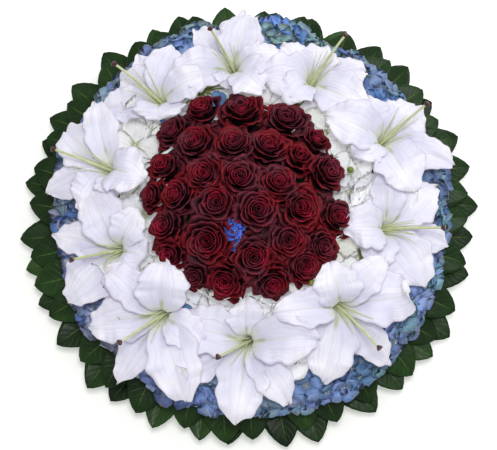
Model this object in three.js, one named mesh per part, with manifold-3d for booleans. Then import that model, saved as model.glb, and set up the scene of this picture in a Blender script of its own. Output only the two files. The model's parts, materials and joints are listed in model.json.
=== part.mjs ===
// A round funeral wreath, a "posy" pad that lies flat: a dome of dark red roses ringed by white
// oriental lilies, white hydrangea in the gaps, blue hydrangea under the lilies and a collar of
// camellia leaves round the edge. Every stem stands in a disc of floral foam, and the foam sits in
// a moulded plastic tray.
// Millimetres, +Z up. The origin is the centre of the tray's underside; +Y is the top of the wreath's face.
import * as THREE from "three";
import { mergeVertices } from "three/addons/utils/BufferGeometryUtils.js";
import Module from "manifold-3d";

const wasm = await Module();
wasm.setup();

// ---- Driving dimensions -------------------------------------------------------------------------
const TRAY_RADIUS = 188;
const TRAY_RIM_TOP = 16;
const FOAM_RADIUS = 178;
const FOAM_BOTTOM = 6;
const FOAM_TOP = 58;
const STEM_DEPTH = 34; // how far a cut stem is pushed into the foam
const DOME_TOP = 158; // crown of the middle rose
const DOME_FALL = 0.00235; // the rose dome drops by this times the square of the radius
const DOME_FOCUS = -70; // rose stems point at this height on the axis
const GAP = 0.45; // clearance between pieces that press against each other

const FINISHES = {
  tray: { color: 0x1f3d2b, roughness: 0.5 },
  foam: { color: 0x3c6b3f, roughness: 0.95 },
  rose: { color: 0x5e0a18, roughness: 0.55 },
  lily: { color: 0xf4f2fa, roughness: 0.45 },
  whiteHydrangea: { color: 0xf5f6f0, roughness: 0.7 },
  blueHydrangea: { color: 0x6f8fd0, roughness: 0.7 },
  leaf: { color: 0x25441f, roughness: 0.35 },
};

// ---- Small helpers ------------------------------------------------------------------------------
const radians = THREE.MathUtils.degToRad;
const lerp = THREE.MathUtils.lerp;

// A repeatable scatter value from 0 to 1 for item i, quantity k.
function scatter(i, k) {
  const v = Math.sin(i * 12.9898 + k * 78.233) * 43758.5453;
  return v - Math.floor(v);
}

const spread = (i, k, amount) => (scatter(i, k) * 2 - 1) * amount;

// Direction at an angle from +Z, leaning towards an azimuth; both in degrees.
function leaning(tilt, azimuth) {
  const [t, a] = [radians(tilt), radians(azimuth)];
  return new THREE.Vector3(Math.sin(t) * Math.cos(a), Math.sin(t) * Math.sin(a), Math.cos(t));
}

// A closed solid from rings of points, its end rings capped. Rings run round the axis of travel by
// the right-hand rule; a ring may have a whole multiple of its neighbour's points, and a ring of one
// point makes a tip.
function loft(rings) {
  const positions = [];
  const index = [];
  const starts = rings.map((ring) => {
    const start = positions.length / 3;
    ring.forEach((p) => positions.push(p.x, p.y, p.z));
    return start;
  });
  for (let i = 0; i + 1 < rings.length; i++) {
    const [na, nb] = [rings[i].length, rings[i + 1].length];
    const most = Math.max(na, nb);
    const pick = (start, count, j) => start + (Math.floor((j * count) / most) % count);
    for (let j = 0; j < most; j++) {
      const [a0, a1] = [pick(starts[i], na, j), pick(starts[i], na, j + 1)];
      const [b0, b1] = [pick(starts[i + 1], nb, j), pick(starts[i + 1], nb, j + 1)];
      if (a0 !== a1) index.push(a0, a1, b1);
      if (b0 !== b1) index.push(a0, b1, b0);
    }
  }
  capRing(index, starts[0], rings[0].length, true);
  capRing(index, starts.at(-1), rings.at(-1).length, false);
  const geometry = new THREE.BufferGeometry();
  geometry.setAttribute("position", new THREE.Float32BufferAttribute(positions, 3));
  geometry.setIndex(index);
  return geometry;
}

function capRing(index, start, count, first) {
  for (let j = 1; j + 1 < count; j++) {
    index.push(start, first ? start + j + 1 : start + j, first ? start + j : start + j + 1);
  }
}

function toSolid(geometry) {
  const bare = geometry.clone();
  bare.deleteAttribute("normal");
  bare.deleteAttribute("uv");
  const merged = mergeVertices(bare, 1e-4);
  return new wasm.Manifold(
    new wasm.Mesh({
      numProp: 3,
      vertProperties: Float32Array.from(merged.attributes.position.array),
      triVerts: Uint32Array.from(merged.index.array),
    }),
  );
}

function toGeometry(solid) {
  const mesh = solid.getMesh();
  const vertices = new Float32Array(mesh.numVert * 3);
  for (let i = 0; i < mesh.numVert; i++) {
    for (let k = 0; k < 3; k++) vertices[i * 3 + k] = mesh.vertProperties[i * mesh.numProp + k];
  }
  const geometry = new THREE.BufferGeometry();
  geometry.setAttribute("position", new THREE.BufferAttribute(vertices, 3));
  geometry.setIndex(new THREE.BufferAttribute(Uint32Array.from(mesh.triVerts), 1));
  geometry.computeVertexNormals();
  return geometry;
}

const joined = (solids) => solids.reduce((a, b) => a.add(b));
const largestBody = (solid) => solid.decompose().reduce((a, b) => (b.volume() > a.volume() ? b : a));

// A local frame at a point: z along the axis, x leaning away from the wreath's middle where it can.
function frameAt(origin, axis, azimuth) {
  const z = axis.clone().normalize();
  const x = leaning(90, azimuth);
  x.addScaledVector(z, -x.dot(z)).normalize();
  const y = new THREE.Vector3().crossVectors(z, x);
  return new THREE.Matrix4().makeBasis(x, y, z).setPosition(origin);
}

const thicker = (radii, grow) => radii.map((r) => r + grow);

// A tapered rod through points, with radii per point.
function rod(points, radii, sides) {
  const rings = points.map((p, i) => {
    const ahead = points[Math.min(i + 1, points.length - 1)];
    const behind = points[Math.max(i - 1, 0)];
    const axis = ahead.clone().sub(behind).normalize();
    const u = new THREE.Vector3(axis.y, -axis.x, 0);
    if (u.length() < 1e-3) u.set(1, 0, 0);
    u.normalize();
    const v = new THREE.Vector3().crossVectors(axis, u);
    const r = radii[i];
    return Array.from({ length: sides }, (_, j) => {
      const a = (j / sides) * 2 * Math.PI;
      return p.clone().addScaledVector(u, r * Math.cos(a)).addScaledVector(v, r * Math.sin(a));
    });
  });
  return toSolid(loft(rings));
}

// ---- Petals and leaves: one rule for every blade ------------------------------------------------
// A blade grows from its base along a line whose angle from the axis turns from `start` to `end`
// degrees. `half` gives its half width along its length, and its edges stand `lift` times the half
// width above its midrib. Near its tip it thins to TIP_THIN of its thickness.
const LINE_STEPS = 24;
const TIP_THIN = 0.4;
const EDGE_GROW = 1.4; // a thin edge moves out by this much for each millimetre of clearance
const EDGE_MIN = 0.8; // least half width, at the very tip

function bladeLine(blade, s) {
  let [rho, z] = [blade.rho0, blade.z0];
  for (let i = 0; i < LINE_STEPS * s; i++) {
    const a = radians(bladeAngle(blade, (i + 0.5) / LINE_STEPS));
    rho += (Math.sin(a) * blade.length) / LINE_STEPS;
    z += (Math.cos(a) * blade.length) / LINE_STEPS;
  }
  return [rho, z, radians(bladeAngle(blade, s))];
}

const bladeAngle = (blade, s) => lerp(blade.start, blade.end, s ** blade.bend);

// Half width along a blade as a share of its most: `shift` moves the widest place, `blunt` fills the ends.
const swelling = (s, shift, blunt) => Math.sin(Math.PI * Math.min(1, s ** shift)) ** blunt;

function bladeSolid(blade, stations, grow) {
  const turn = new THREE.Matrix4().makeRotationZ(radians(blade.azimuth));
  const rings = stations.map((s, i) => {
    const [rho, z, a] = bladeLine(blade, s);
    const half = blade.half(s);
    const last = i === stations.length - 1;
    const out = last ? grow : 0;
    const at = (side, up) =>
      new THREE.Vector3(
        rho + Math.sin(a) * out - Math.cos(a) * up,
        side,
        z + Math.cos(a) * out + Math.sin(a) * up,
      ).applyMatrix4(turn);
    const edge = half + EDGE_GROW * grow;
    const lift = blade.lift * edge;
    const thick = blade.thick * (last ? TIP_THIN : 1);
    return [at(-edge, lift), at(0, -thick - grow), at(edge, lift), at(0, grow)];
  });
  return toSolid(loft(rings));
}

// ---- Tray and foam ------------------------------------------------------------------------------
const LATHE_SIDES = 24;

function lathe(profile) {
  const points = profile.map(([r, z]) => new THREE.Vector2(r, z));
  return new THREE.LatheGeometry(points, LATHE_SIDES).rotateX(Math.PI / 2);
}

function traySolid() {
  const [plateBottom, plateTop, rimWall, chamfer] = [3, 5.4, 2.4, 3];
  const [footIn, footOut, bossRadius] = [150, 156, 26];
  const inner = TRAY_RADIUS - rimWall;
  const dish = lathe([
    [0, 0],
    [bossRadius, 0],
    [bossRadius, plateBottom],
    [footIn, plateBottom],
    [footIn, 0],
    [footOut, 0],
    [footOut, plateBottom],
    [TRAY_RADIUS - chamfer, plateBottom],
    [TRAY_RADIUS, plateBottom + chamfer],
    [TRAY_RADIUS, TRAY_RIM_TOP],
    [inner, TRAY_RIM_TOP],
    [inner, plateTop],
    [0, plateTop],
  ]);
  let tray = toSolid(dish);
  const [ribWidth, ribHeight, ribCount, ribOverlap] = [3, 3.5, 8, 1];
  const ribBottom = 0.4;
  const ribLength = footIn - bossRadius + 2 * ribOverlap;
  for (let i = 0; i < ribCount; i++) {
    const rib = new THREE.BoxGeometry(ribLength, ribWidth, ribHeight);
    rib.translate(bossRadius - ribOverlap + ribLength / 2, 0, ribBottom + ribHeight / 2);
    rib.rotateZ(((i + 0.5) / ribCount) * 2 * Math.PI);
    tray = tray.add(toSolid(rib));
  }
  return tray;
}

function foamSolid() {
  const [bevelTop, bevelDrop] = [160, 18]; // radius and depth of the cut-back shoulder
  return toSolid(
    lathe([
      [0, FOAM_BOTTOM],
      [FOAM_RADIUS, FOAM_BOTTOM],
      [FOAM_RADIUS, FOAM_TOP - bevelDrop],
      [bevelTop, FOAM_TOP],
      [0, FOAM_TOP],
    ]),
  );
}

// ---- Roses --------------------------------------------------------------------------------------
// Where each rose's face stands over the foam, and how wide its head is open.
const ROSES = [
  [-59, 121, 45],
  [-9, 117, 58],
  [47, 104, 57],
  [-95, 88, 41],
  [-66, 70, 53],
  [-19, 66, 50],
  [25, 64, 50],
  [84, 77, 38],
  [63, 50, 41],
  [-107, 42, 38],
  [-55, 26, 57],
  [-9, 20, 55],
  [36, 15, 52],
  [100, 34, 48],
  [-120, 3, 35],
  [-90, 1, 42],
  [-40, -17, 45],
  [12, -21, 56],
  [64, -17, 61],
  [106, -21, 42],
  [-101, -35, 40],
  [-50, -58, 66],
  [7, -76, 56],
  [47, -56, 51],
  [88, -57, 38],
  [-92, -70, 36],
  [-64, -93, 35],
  [-29, -104, 52],
  [68, -84, 46],
  [30, -108, 44],
];
const ROSE_SIDES = 10;
const ROSE_DEPTH = 26; // height of a head of no width, and what each millimetre of width adds to it
const ROSE_DEPTH_SHARE = 0.38;
const ROSE_HIP = 5; // length of the hip between head and stem
const ROSE_TURN = 41; // each rose is turned this much further than the one before, in degrees
const ROSE_STEM_RADIUS = 2.6;
const STEM_SIDES = 5;

function rosePlace([x, y, width]) {
  const crown = new THREE.Vector3(x, y, DOME_TOP - DOME_FALL * (x * x + y * y));
  const axis = crown.clone().sub(new THREE.Vector3(0, 0, DOME_FOCUS)).normalize();
  return { crown, axis, width, height: ROSE_DEPTH + ROSE_DEPTH_SHARE * width };
}

// Head profile as shares of the half width and of the height below the crown; lobes open the rim
// like petals.
const ROSE_PROFILE = [
  { r: 0.2, down: 1.0, lobe: 0 },
  { r: 0.74, down: 0.72, lobe: 0.03 },
  { r: 1.0, down: 0.28, lobe: 0.09 },
  { r: 0.62, down: 0.12, lobe: 0.03 },
  { r: 0.3, down: 0.0, lobe: 0 },
];
const ROSE_EYE_DEPTH = 0.1;

function roseSolid(place, number, grow) {
  const { crown, axis, width, height } = place;
  const azimuth = THREE.MathUtils.radToDeg(Math.atan2(crown.y, crown.x));
  const toWorld = frameAt(crown, axis, azimuth + number * ROSE_TURN);
  const circle = (radius, z, lobe, sides = ROSE_SIDES) =>
    Array.from({ length: sides }, (_, j) => {
      const a = (j / sides) * 2 * Math.PI;
      const r = radius * (1 + (j % 2 ? -lobe : lobe)) + grow;
      return new THREE.Vector3(r * Math.cos(a), r * Math.sin(a), z).applyMatrix4(toWorld);
    });
  const neck = -height;
  const reach = stemReach(crown, axis);
  const stem = [-reach - grow, neck - ROSE_HIP];
  const rings = stem.map((z) => circle(ROSE_STEM_RADIUS, z, 0, STEM_SIDES));
  for (const { r, down, lobe } of ROSE_PROFILE) {
    rings.push(circle((r * width) / 2, neck * down + (down < 0.5 ? grow : -grow), lobe));
  }
  rings.push([new THREE.Vector3(0, 0, neck * ROSE_EYE_DEPTH + grow).applyMatrix4(toWorld)]);
  return toSolid(loft(rings));
}

// Distance down the axis from a crown to the cut end of its stem in the foam.
function stemReach(crown, axis) {
  return (crown.z - (FOAM_TOP - STEM_DEPTH)) / axis.z;
}

// Neighbouring heads that press together share a flat between them.
const ROSE_WIDEST = 0.35; // share of the head's height below its crown at which neighbours meet
const ROSE_TOUCH = 0.56; // heads nearer than this share of their summed widths press on each other

function pressedRoses() {
  const places = ROSES.map(rosePlace);
  const waist = (p) => p.crown.clone().addScaledVector(p.axis, -ROSE_WIDEST * p.height);
  const middle = places.map(waist);
  return places.map((place, i) => {
    let solid = roseSolid(place, i, 0);
    places.forEach((other, j) => {
      const between = middle[j].clone().sub(middle[i]);
      const distance = between.length();
      if (i === j || distance > (place.width + other.width) * ROSE_TOUCH) return;
      const share = place.width / (place.width + other.width);
      between.normalize();
      const cut = middle[i].dot(between) + distance * share - GAP / 2;
      solid = solid.trimByPlane(between.clone().negate().toArray(), -cut);
    });
    return { solid: largestBody(solid), clearance: roseSolid(place, i, GAP) };
  });
}

// ---- Lilies -------------------------------------------------------------------------------------
// Where each throat stands, how far the flower leans and to which azimuth, and its six tepals as the
// azimuth each points to and how far it reaches in plan. The first, third and fifth are the wide
// inner tepals.
const LILIES = [
  {
    at: [-19, 172, 106],
    tilt: 20,
    towards: 138,
    tepals: [[75, 74], [129, 70], [190, 62], [262, 28], [320, 50], [18, 66]],
  },
  {
    at: [-109, 133, 97],
    tilt: 41,
    towards: 142,
    tepals: [[88, 66], [116, 72], [150, 60], [187, 66], [270, 30], [25, 60]],
  },
  {
    at: [-169, 45, 104],
    tilt: 44,
    towards: 167,
    tepals: [[135, 78], [196, 84], [236, 60], [290, 36], [342, 50], [92, 70]],
  },
  {
    at: [-156, -57, 97],
    tilt: 30,
    towards: 208,
    tepals: [[116, 82], [165, 84], [226, 86], [278, 60], [345, 36], [62, 54]],
  },
  {
    at: [-103, -135, 106],
    tilt: 34,
    towards: 226,
    tepals: [[85, 60], [140, 50], [187, 86], [236, 88], [286, 94], [325, 60]],
  },
  {
    at: [-3, -168, 98],
    tilt: 22,
    towards: 224,
    tepals: [[262, 90], [302, 80], [355, 78], [95, 42], [175, 82], [207, 80]],
  },
  {
    at: [108, -126, 105],
    tilt: 43,
    towards: 308,
    tepals: [[257, 88], [312, 90], [14, 80], [60, 50], [105, 52], [187, 80]],
  },
  {
    at: [167, -30, 97],
    tilt: 41,
    towards: 351,
    tepals: [[40, 84], [88, 70], [187, 42], [265, 50], [312, 84], [350, 82]],
  },
  {
    at: [161, 81, 104],
    tilt: 35,
    towards: 34,
    tepals: [[155, 60], [210, 42], [298, 74], [344, 92], [40, 70], [105, 54]],
  },
  {
    at: [76, 158, 98],
    tilt: 39,
    towards: 54,
    tepals: [[72, 54], [125, 40], [180, 62], [215, 50], [345, 66], [22, 70]],
  },
];
const LILY_TUBE = 38; // base of the flower to its throat
const THROAT_RADIUS = 7;
const THROAT_STEP = 2; // the narrow tepals stand this much further out at the throat
const THROAT_DEPTH = 6; // and all of them part this far below its rim
const TEPAL_STATIONS = [0, 0.3, 0.62, 0.86, 1];
const TEPAL_RISE = 42; // angle from upright at which an inner tepal leaves the throat
const OUTER_RISE = 46; // and an outer one
const TILT_SHARE = 0.8; // share of the flower's lean that an outward tepal adds to that angle
const TEPAL_DROOP = 122; // the angle at a tepal's tip, with its spread
const DROOP_SPREAD = 6;
const TEPAL_THICK = 2.2;
const INNER_HALF_WIDTH = 31;
const OUTER_HALF_WIDTH = 23;
const TEPAL_FOOT = 5.5; // half width of a tepal at the throat
const INNER_LIFT = 0.2; // how far the edges of a tepal stand above its midrib, as a share of its width
const OUTER_LIFT = 0.14;
const STYLE_STRAIGHT = 50; // the style follows the flower's axis this far, then leans further out
const STYLE_LEAN = 0.7;
const STYLE_END = 56;
const FILAMENT_END = 38;

function tepalWidth(most, s) {
  return TEPAL_FOOT * (1 - s * s) + (most - TEPAL_FOOT) * swelling(s, 0.98, 0.86);
}

// Plan length of a blade one millimetre long.
function planReach(start, end) {
  const [a, b] = [radians(start), radians(end)];
  return (Math.cos(a) - Math.cos(b)) / (b - a);
}

function lilyFrame(lily) {
  const axis = leaning(lily.tilt, lily.towards);
  const base = new THREE.Vector3(...lily.at).addScaledVector(axis, -LILY_TUBE);
  return { axis, base, toWorld: frameAt(base, axis, lily.towards) };
}

// Each tepal springs from the rim of the trumpet and lies in an upright plane: outward ones start flatter.
function tepalSolids(lily, number, grow) {
  const { toWorld } = lilyFrame(lily);
  return lily.tepals.map(([azimuth, reach], k) => {
    const wide = k % 2 === 0;
    const turn = radians(azimuth - lily.towards);
    const outwards = Math.cos(turn);
    const rim = THROAT_RADIUS + (wide ? 0 : THROAT_STEP);
    const depth = LILY_TUBE - THROAT_DEPTH;
    const root = new THREE.Vector3(rim * Math.cos(turn), rim * Math.sin(turn), depth);
    const start = (wide ? TEPAL_RISE : OUTER_RISE) + TILT_SHARE * lily.tilt * outwards;
    const end = TEPAL_DROOP + spread(number * 6 + k, 2, DROOP_SPREAD);
    const most = wide ? INNER_HALF_WIDTH : OUTER_HALF_WIDTH;
    const blade = {
      azimuth,
      length: (reach - rim) / planReach(start, end),
      rho0: 0,
      z0: 0,
      start,
      end,
      bend: 1,
      thick: TEPAL_THICK,
      lift: wide ? INNER_LIFT : OUTER_LIFT,
      half: (s) => Math.max(EDGE_MIN, tepalWidth(most, s)),
    };
    const place = new THREE.Matrix4().makeTranslation(root.applyMatrix4(toWorld));
    return bladeSolid(blade, TEPAL_STATIONS, grow).transform(place.toArray());
  });
}

// The narrow part of the flower, where the six tepals stand close together round a hollow throat.
const TRUMPET_FOOT = 5;
const TRUMPET_HOLLOW = 17; // the throat is hollow from this height up

function trumpet(grow) {
  const sides = 6;
  const circle = (r, z) =>
    Array.from({ length: sides }, (_, j) => {
      const a = (j / sides) * 2 * Math.PI;
      return new THREE.Vector3(r * Math.cos(a), r * Math.sin(a), z);
    });
  const hollow = [new THREE.Vector3(0, 0, TRUMPET_HOLLOW + grow)];
  const rim = circle(THROAT_RADIUS + THROAT_STEP + grow, LILY_TUBE - THROAT_DEPTH / 3 + grow);
  return toSolid(loft([circle(TRUMPET_FOOT + grow, -2), rim, hollow]));
}

// Style with its stigma, and six filaments that part from it; their pollen heads have been taken off.
const STYLE_RADII = [2, 1.7];
const STIGMA_RADII = [1.7, 1.9, 4.6];
const STIGMA_LENGTH = 6;
const FILAMENT_RADII = [1.5, 1];
const FILAMENT_SPREAD = 15;

function lilyMiddle(lily, number, grow) {
  const lean = radians(lily.tilt * STYLE_LEAN);
  const beyond = (length, side = 0, across = 0) =>
    new THREE.Vector3(length * Math.sin(lean) + side, across, STYLE_STRAIGHT + length * Math.cos(lean));
  const foot = new THREE.Vector3(0, 0, LILY_TUBE / 3);
  const stigma = [beyond(-1), beyond(STYLE_END - STIGMA_LENGTH), beyond(STYLE_END + grow)];
  const parts = [
    rod([foot, beyond(0)], thicker(STYLE_RADII, grow), STEM_SIDES),
    rod(stigma, thicker(STIGMA_RADII, grow), STEM_SIDES),
  ];
  for (let k = 0; k < 6; k++) {
    const a = radians(k * 60 + 30);
    const out = FILAMENT_SPREAD + spread(number * 6 + k, 5, 4);
    const root = new THREE.Vector3(3 * Math.cos(a), 3 * Math.sin(a), LILY_TUBE / 2);
    const tip = beyond(FILAMENT_END + grow, out * Math.cos(a), out * Math.sin(a));
    parts.push(rod([root, tip], thicker(FILAMENT_RADII, grow), 3));
  }
  return joined(parts);
}

const PEDICEL_KNEE = 12; // below the flower's base along its axis
const PEDICEL_DROP = 8; // and at least this much lower than it
const PEDICEL_INSET = 4; // the cut end stands this much nearer the wreath's middle than the knee
const PEDICEL_RADII = [3.4, 3.6, 6];

function lilyPedicel(lily, grow) {
  const { axis, base } = lilyFrame(lily);
  const top = base.clone().addScaledVector(axis, 4);
  const knee = base.clone().addScaledVector(axis, -PEDICEL_KNEE);
  knee.z = Math.min(knee.z, base.z - PEDICEL_DROP);
  const inward = 1 - PEDICEL_INSET / Math.hypot(knee.x, knee.y);
  const foot = new THREE.Vector3(knee.x * inward, knee.y * inward, FOAM_TOP - STEM_DEPTH - grow);
  return rod([foot, knee, top], thicker(PEDICEL_RADII, grow), STEM_SIDES);
}

function lilySolid(lily, number, grow) {
  const { toWorld } = lilyFrame(lily);
  const middle = joined([trumpet(grow), lilyMiddle(lily, number, grow)]).transform(toWorld.toArray());
  return joined([middle, lilyPedicel(lily, grow), ...tepalSolids(lily, number, grow)]);
}

// ---- Hydrangea ----------------------------------------------------------------------------------
// A head of hydrangea pressed into a crescent: lumps of florets along an arc, on a short stem in the foam.
const HEAD_STATIONS = 6;
const HEAD_SIDES = 6;
const HEAD_TAPER = [0.35, 0.65]; // plumpness at the ends of a crescent, and what its middle adds
const HEAD_LUMPS = 0.09;
const HEAD_STEM_RADII = [3, 3.6];

function hydrangeaSolid(head, number, grow) {
  const rings = Array.from({ length: HEAD_STATIONS }, (_, i) => {
    const share = i / (HEAD_STATIONS - 1);
    const a = radians(lerp(head.from, head.to, share));
    const plump = HEAD_TAPER[0] + HEAD_TAPER[1] * Math.sin(Math.PI * lerp(0.08, 0.92, share)) ** 0.5;
    return Array.from({ length: HEAD_SIDES }, (_, j) => {
      const b = (-j / HEAD_SIDES) * 2 * Math.PI;
      const lump = plump * (1 + spread(number * 100 + i * 10 + j, 3, HEAD_LUMPS));
      const r = head.radius + Math.cos(b) * (head.across * lump + grow);
      const z = head.height + Math.sin(b) * (head.deep * lump + grow);
      return new THREE.Vector3(r * Math.cos(a), r * Math.sin(a), z);
    });
  });
  const bun = toSolid(loft(rings));
  const middle = radians((head.from + head.to) / 2);
  const at = (r, z) => new THREE.Vector3(r * Math.cos(middle), r * Math.sin(middle), z);
  const stemPath = [at(head.stemFoot, FOAM_TOP - STEM_DEPTH - grow), at(head.radius, head.height)];
  return bun.add(rod(stemPath, thicker(HEAD_STEM_RADII, grow), STEM_SIDES));
}

// Middle azimuth and half span of each head; the white ones stand between the roses and the lilies.
const WHITE_SPANS = [
  [112, 34.5],
  [181, 33],
  [251, 36.5],
  [330, 39.5],
  [47, 32],
];
const BLUE_COUNT = 6;
const WHITE_RING = { radius: 152, height: 80, across: 38, deep: 15, stemFoot: 118 };
const BLUE_RING = { radius: 218, height: 60, across: 28, deep: 15, stemFoot: 158 };

const crescent = (ring, middle, half) => ({ ...ring, from: middle - half, to: middle + half });
const WHITE_HEADS = WHITE_SPANS.map(([middle, half]) => crescent(WHITE_RING, middle, half));
const BLUE_HEADS = Array.from({ length: BLUE_COUNT }, (_, i) =>
  crescent(BLUE_RING, ((i + 0.5) * 360) / BLUE_COUNT, 180 / BLUE_COUNT - 1),
);

// A small sprig of blue florets that fills the gap between four roses.
const SPRIG = { x: -16, y: -44, top: 134, radius: 11 };

function sprigSolid(grow) {
  const { x, y, top, radius } = SPRIG;
  const at = (z) => new THREE.Vector3(x, y, z);
  const [head, widest] = [26, 8]; // below the top
  const points = [at(FOAM_TOP - STEM_DEPTH - grow), at(top - head), at(top - widest), at(top + grow)];
  return rod(points, thicker([2, 2.4, radius, radius * 0.45], grow), 7);
}

// ---- Leaf collar --------------------------------------------------------------------------------
const LEAF_COUNT = 68;
const LEAF_GROUPS = 6;
const LEAF_ROOT_RADIUS = 184;
const LEAF_ROOT_HEIGHT = 23;
const LEAF_STATIONS = [0, 0.28, 0.72, 1];
const LEAF_STALK = 1.6; // half width of a leaf where it is bound
const LEAF_HALF_WIDTH = 26;
const LEAF_THICK = 1.6;
const UPPER_LEAF = { length: 95, z0: 0.8, start: 55, end: 110, roll: -6 };
const LOWER_LEAF = { length: 100, z0: -0.2, start: 84, end: 94, roll: 6 };
const WIRE_RADIUS = 1.3;
const WIRE_INSET = 0.2; // the wire stops this share of a leaf's spacing short of its arc's end

// Even leaves lie low and reach furthest, odd ones ride over them; each layer laps like shingles.
const leafLayer = (i) => (i % 2 === 1 ? UPPER_LEAF : LOWER_LEAF);

function leafWidth(most, s) {
  return LEAF_STALK * (1 - s ** 6) + (most - LEAF_STALK) * swelling(s, 0.95, 0.7);
}

function leafBlade(i) {
  const layer = leafLayer(i);
  const most = LEAF_HALF_WIDTH + spread(i, 11, 1.5);
  return {
    azimuth: spread(i, 12, 5),
    length: layer.length + spread(i, 13, 4),
    rho0: 0,
    z0: layer.z0,
    start: layer.start + spread(i, 14, 2.5),
    end: layer.end + spread(i, 15, 3),
    bend: 0.8,
    thick: LEAF_THICK,
    lift: 0.14,
    half: (s) => Math.max(EDGE_MIN, leafWidth(most, s)),
  };
}

function leafPlace(i) {
  const a = ((i + 0.5 + spread(i, 16, 0.1)) / LEAF_COUNT) * 2 * Math.PI;
  const roll = radians(leafLayer(i).roll + spread(i, 17, 2));
  return new THREE.Matrix4()
    .makeRotationZ(a)
    .multiply(new THREE.Matrix4().makeTranslation(LEAF_ROOT_RADIUS, 0, LEAF_ROOT_HEIGHT))
    .multiply(new THREE.Matrix4().makeRotationX(roll));
}

// The leaves of one sixth of the collar, their stalks bound to one arc of florist's wire.
function leafGroupSolid(group) {
  const [first, last] = [group, group + 1].map((g) => Math.round((g * LEAF_COUNT) / LEAF_GROUPS));
  const arcSteps = 6;
  const arc = Array.from({ length: arcSteps + 1 }, (_, k) => {
    const i = lerp(first + WIRE_INSET, last - WIRE_INSET, k / arcSteps);
    const a = (i / LEAF_COUNT) * 2 * Math.PI;
    const r = LEAF_ROOT_RADIUS + 1;
    return new THREE.Vector3(r * Math.cos(a), r * Math.sin(a), LEAF_ROOT_HEIGHT);
  });
  const parts = [rod(arc, arc.map(() => WIRE_RADIUS), 4)];
  for (let i = first; i < last; i++) {
    parts.push(bladeSolid(leafBlade(i), LEAF_STATIONS, 0).transform(leafPlace(i).toArray()));
  }
  return joined(parts);
}

// ---- Assembly -----------------------------------------------------------------------------------
const wreath = new THREE.Group();
const placed = []; // the pieces already in place, and the clearance round each

function addNode(name, solid, finish) {
  const material = new THREE.MeshStandardMaterial({ ...finish, metalness: 0 });
  const mesh = new THREE.Mesh(toGeometry(solid), material);
  mesh.name = name;
  wreath.add(mesh);
}

// Cuts a piece back from what is already in place, keeps its main body, and puts that in place too.
function settle(solid, clearance) {
  let cut = solid;
  for (const other of placed) {
    if (cut.intersect(other).volume() > 0) cut = cut.subtract(other);
  }
  const kept = largestBody(cut);
  placed.push(clearance, kept);
  return kept;
}

const numbered = (stem, i) => `${stem}_${String(i + 1).padStart(2, "0")}`;

pressedRoses().forEach(({ solid, clearance }, i) => {
  placed.push(clearance, solid);
  addNode(numbered("rose", i), solid, FINISHES.rose);
});
LILIES.forEach((lily, i) => {
  const solid = settle(lilySolid(lily, i, 0), lilySolid(lily, i, GAP));
  addNode(numbered("lily", i), solid, FINISHES.lily);
});
addNode("blue_hydrangea_sprig", settle(sprigSolid(0), sprigSolid(GAP)), FINISHES.blueHydrangea);
WHITE_HEADS.forEach((head, i) => {
  const solid = settle(hydrangeaSolid(head, i, 0), hydrangeaSolid(head, i, GAP));
  addNode(numbered("white_hydrangea", i), solid, FINISHES.whiteHydrangea);
});
BLUE_HEADS.forEach((head, i) => {
  const seed = WHITE_HEADS.length + i;
  const solid = settle(hydrangeaSolid(head, seed, 0), hydrangeaSolid(head, seed, GAP));
  addNode(numbered("blue_hydrangea", i), solid, FINISHES.blueHydrangea);
});
for (let group = 0; group < LEAF_GROUPS; group++) {
  const leaves = leafGroupSolid(group);
  addNode(numbered("camellia_leaves", group), settle(leaves, leaves), FINISHES.leaf);
}
addNode("floral_foam", settle(foamSolid(), foamSolid()), FINISHES.foam);
addNode("tray", traySolid(), FINISHES.tray);

export default wreath;
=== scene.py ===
"""A round funeral wreath of fresh flowers on a foam posy pad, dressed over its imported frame."""

import json
import math
from collections import namedtuple

import bpy
import numpy as np
from bpy.props import FloatProperty, PointerProperty
from mathutils import Matrix, Vector

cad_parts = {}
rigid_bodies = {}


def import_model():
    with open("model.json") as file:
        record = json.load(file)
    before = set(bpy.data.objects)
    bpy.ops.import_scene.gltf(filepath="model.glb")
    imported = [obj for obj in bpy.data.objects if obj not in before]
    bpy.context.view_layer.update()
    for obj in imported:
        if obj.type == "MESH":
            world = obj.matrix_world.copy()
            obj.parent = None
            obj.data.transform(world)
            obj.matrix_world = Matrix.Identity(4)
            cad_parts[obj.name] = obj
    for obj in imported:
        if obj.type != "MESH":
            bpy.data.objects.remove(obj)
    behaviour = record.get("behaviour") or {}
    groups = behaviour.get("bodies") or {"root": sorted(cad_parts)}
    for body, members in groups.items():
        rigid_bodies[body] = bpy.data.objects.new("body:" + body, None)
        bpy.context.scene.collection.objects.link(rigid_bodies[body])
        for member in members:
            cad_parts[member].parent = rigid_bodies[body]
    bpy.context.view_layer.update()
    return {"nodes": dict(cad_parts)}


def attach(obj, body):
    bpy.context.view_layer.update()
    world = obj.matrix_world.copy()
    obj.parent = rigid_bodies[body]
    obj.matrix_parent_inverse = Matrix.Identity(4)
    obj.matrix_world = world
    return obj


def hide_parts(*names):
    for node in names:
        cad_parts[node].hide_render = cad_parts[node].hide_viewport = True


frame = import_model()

bl_info = {
    "name": "Funeral wreath",
    "version": (1, 0, 0),
    "blender": (4, 5, 0),
    "location": "3D View > Sidebar > Wreath",
    "description": "Roses, lilies, hydrangea and camellia leaves on a foam posy pad",
    "category": "Object",
}

MM = 0.001
BODY = "root"
STEM_CUT = 24  # height of the cut ends of the stems in the foam
UP = np.array([0, 0, 1.0])


# ---- Small helpers ----


def scatter(i, k):
    """A repeatable scatter value from 0 to 1 for item i, quantity k."""
    value = math.sin(i * 12.9898 + k * 78.233) * 43758.5453
    return value - math.floor(value)


def spread(i, k, amount):
    return (scatter(i, k) * 2 - 1) * amount


def lerp(a, b, t):
    return a + (b - a) * t


def smooth_step(low, high, value):
    t = np.clip((value - low) / (high - low), 0, 1)
    return t * t * (3 - 2 * t)


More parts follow.
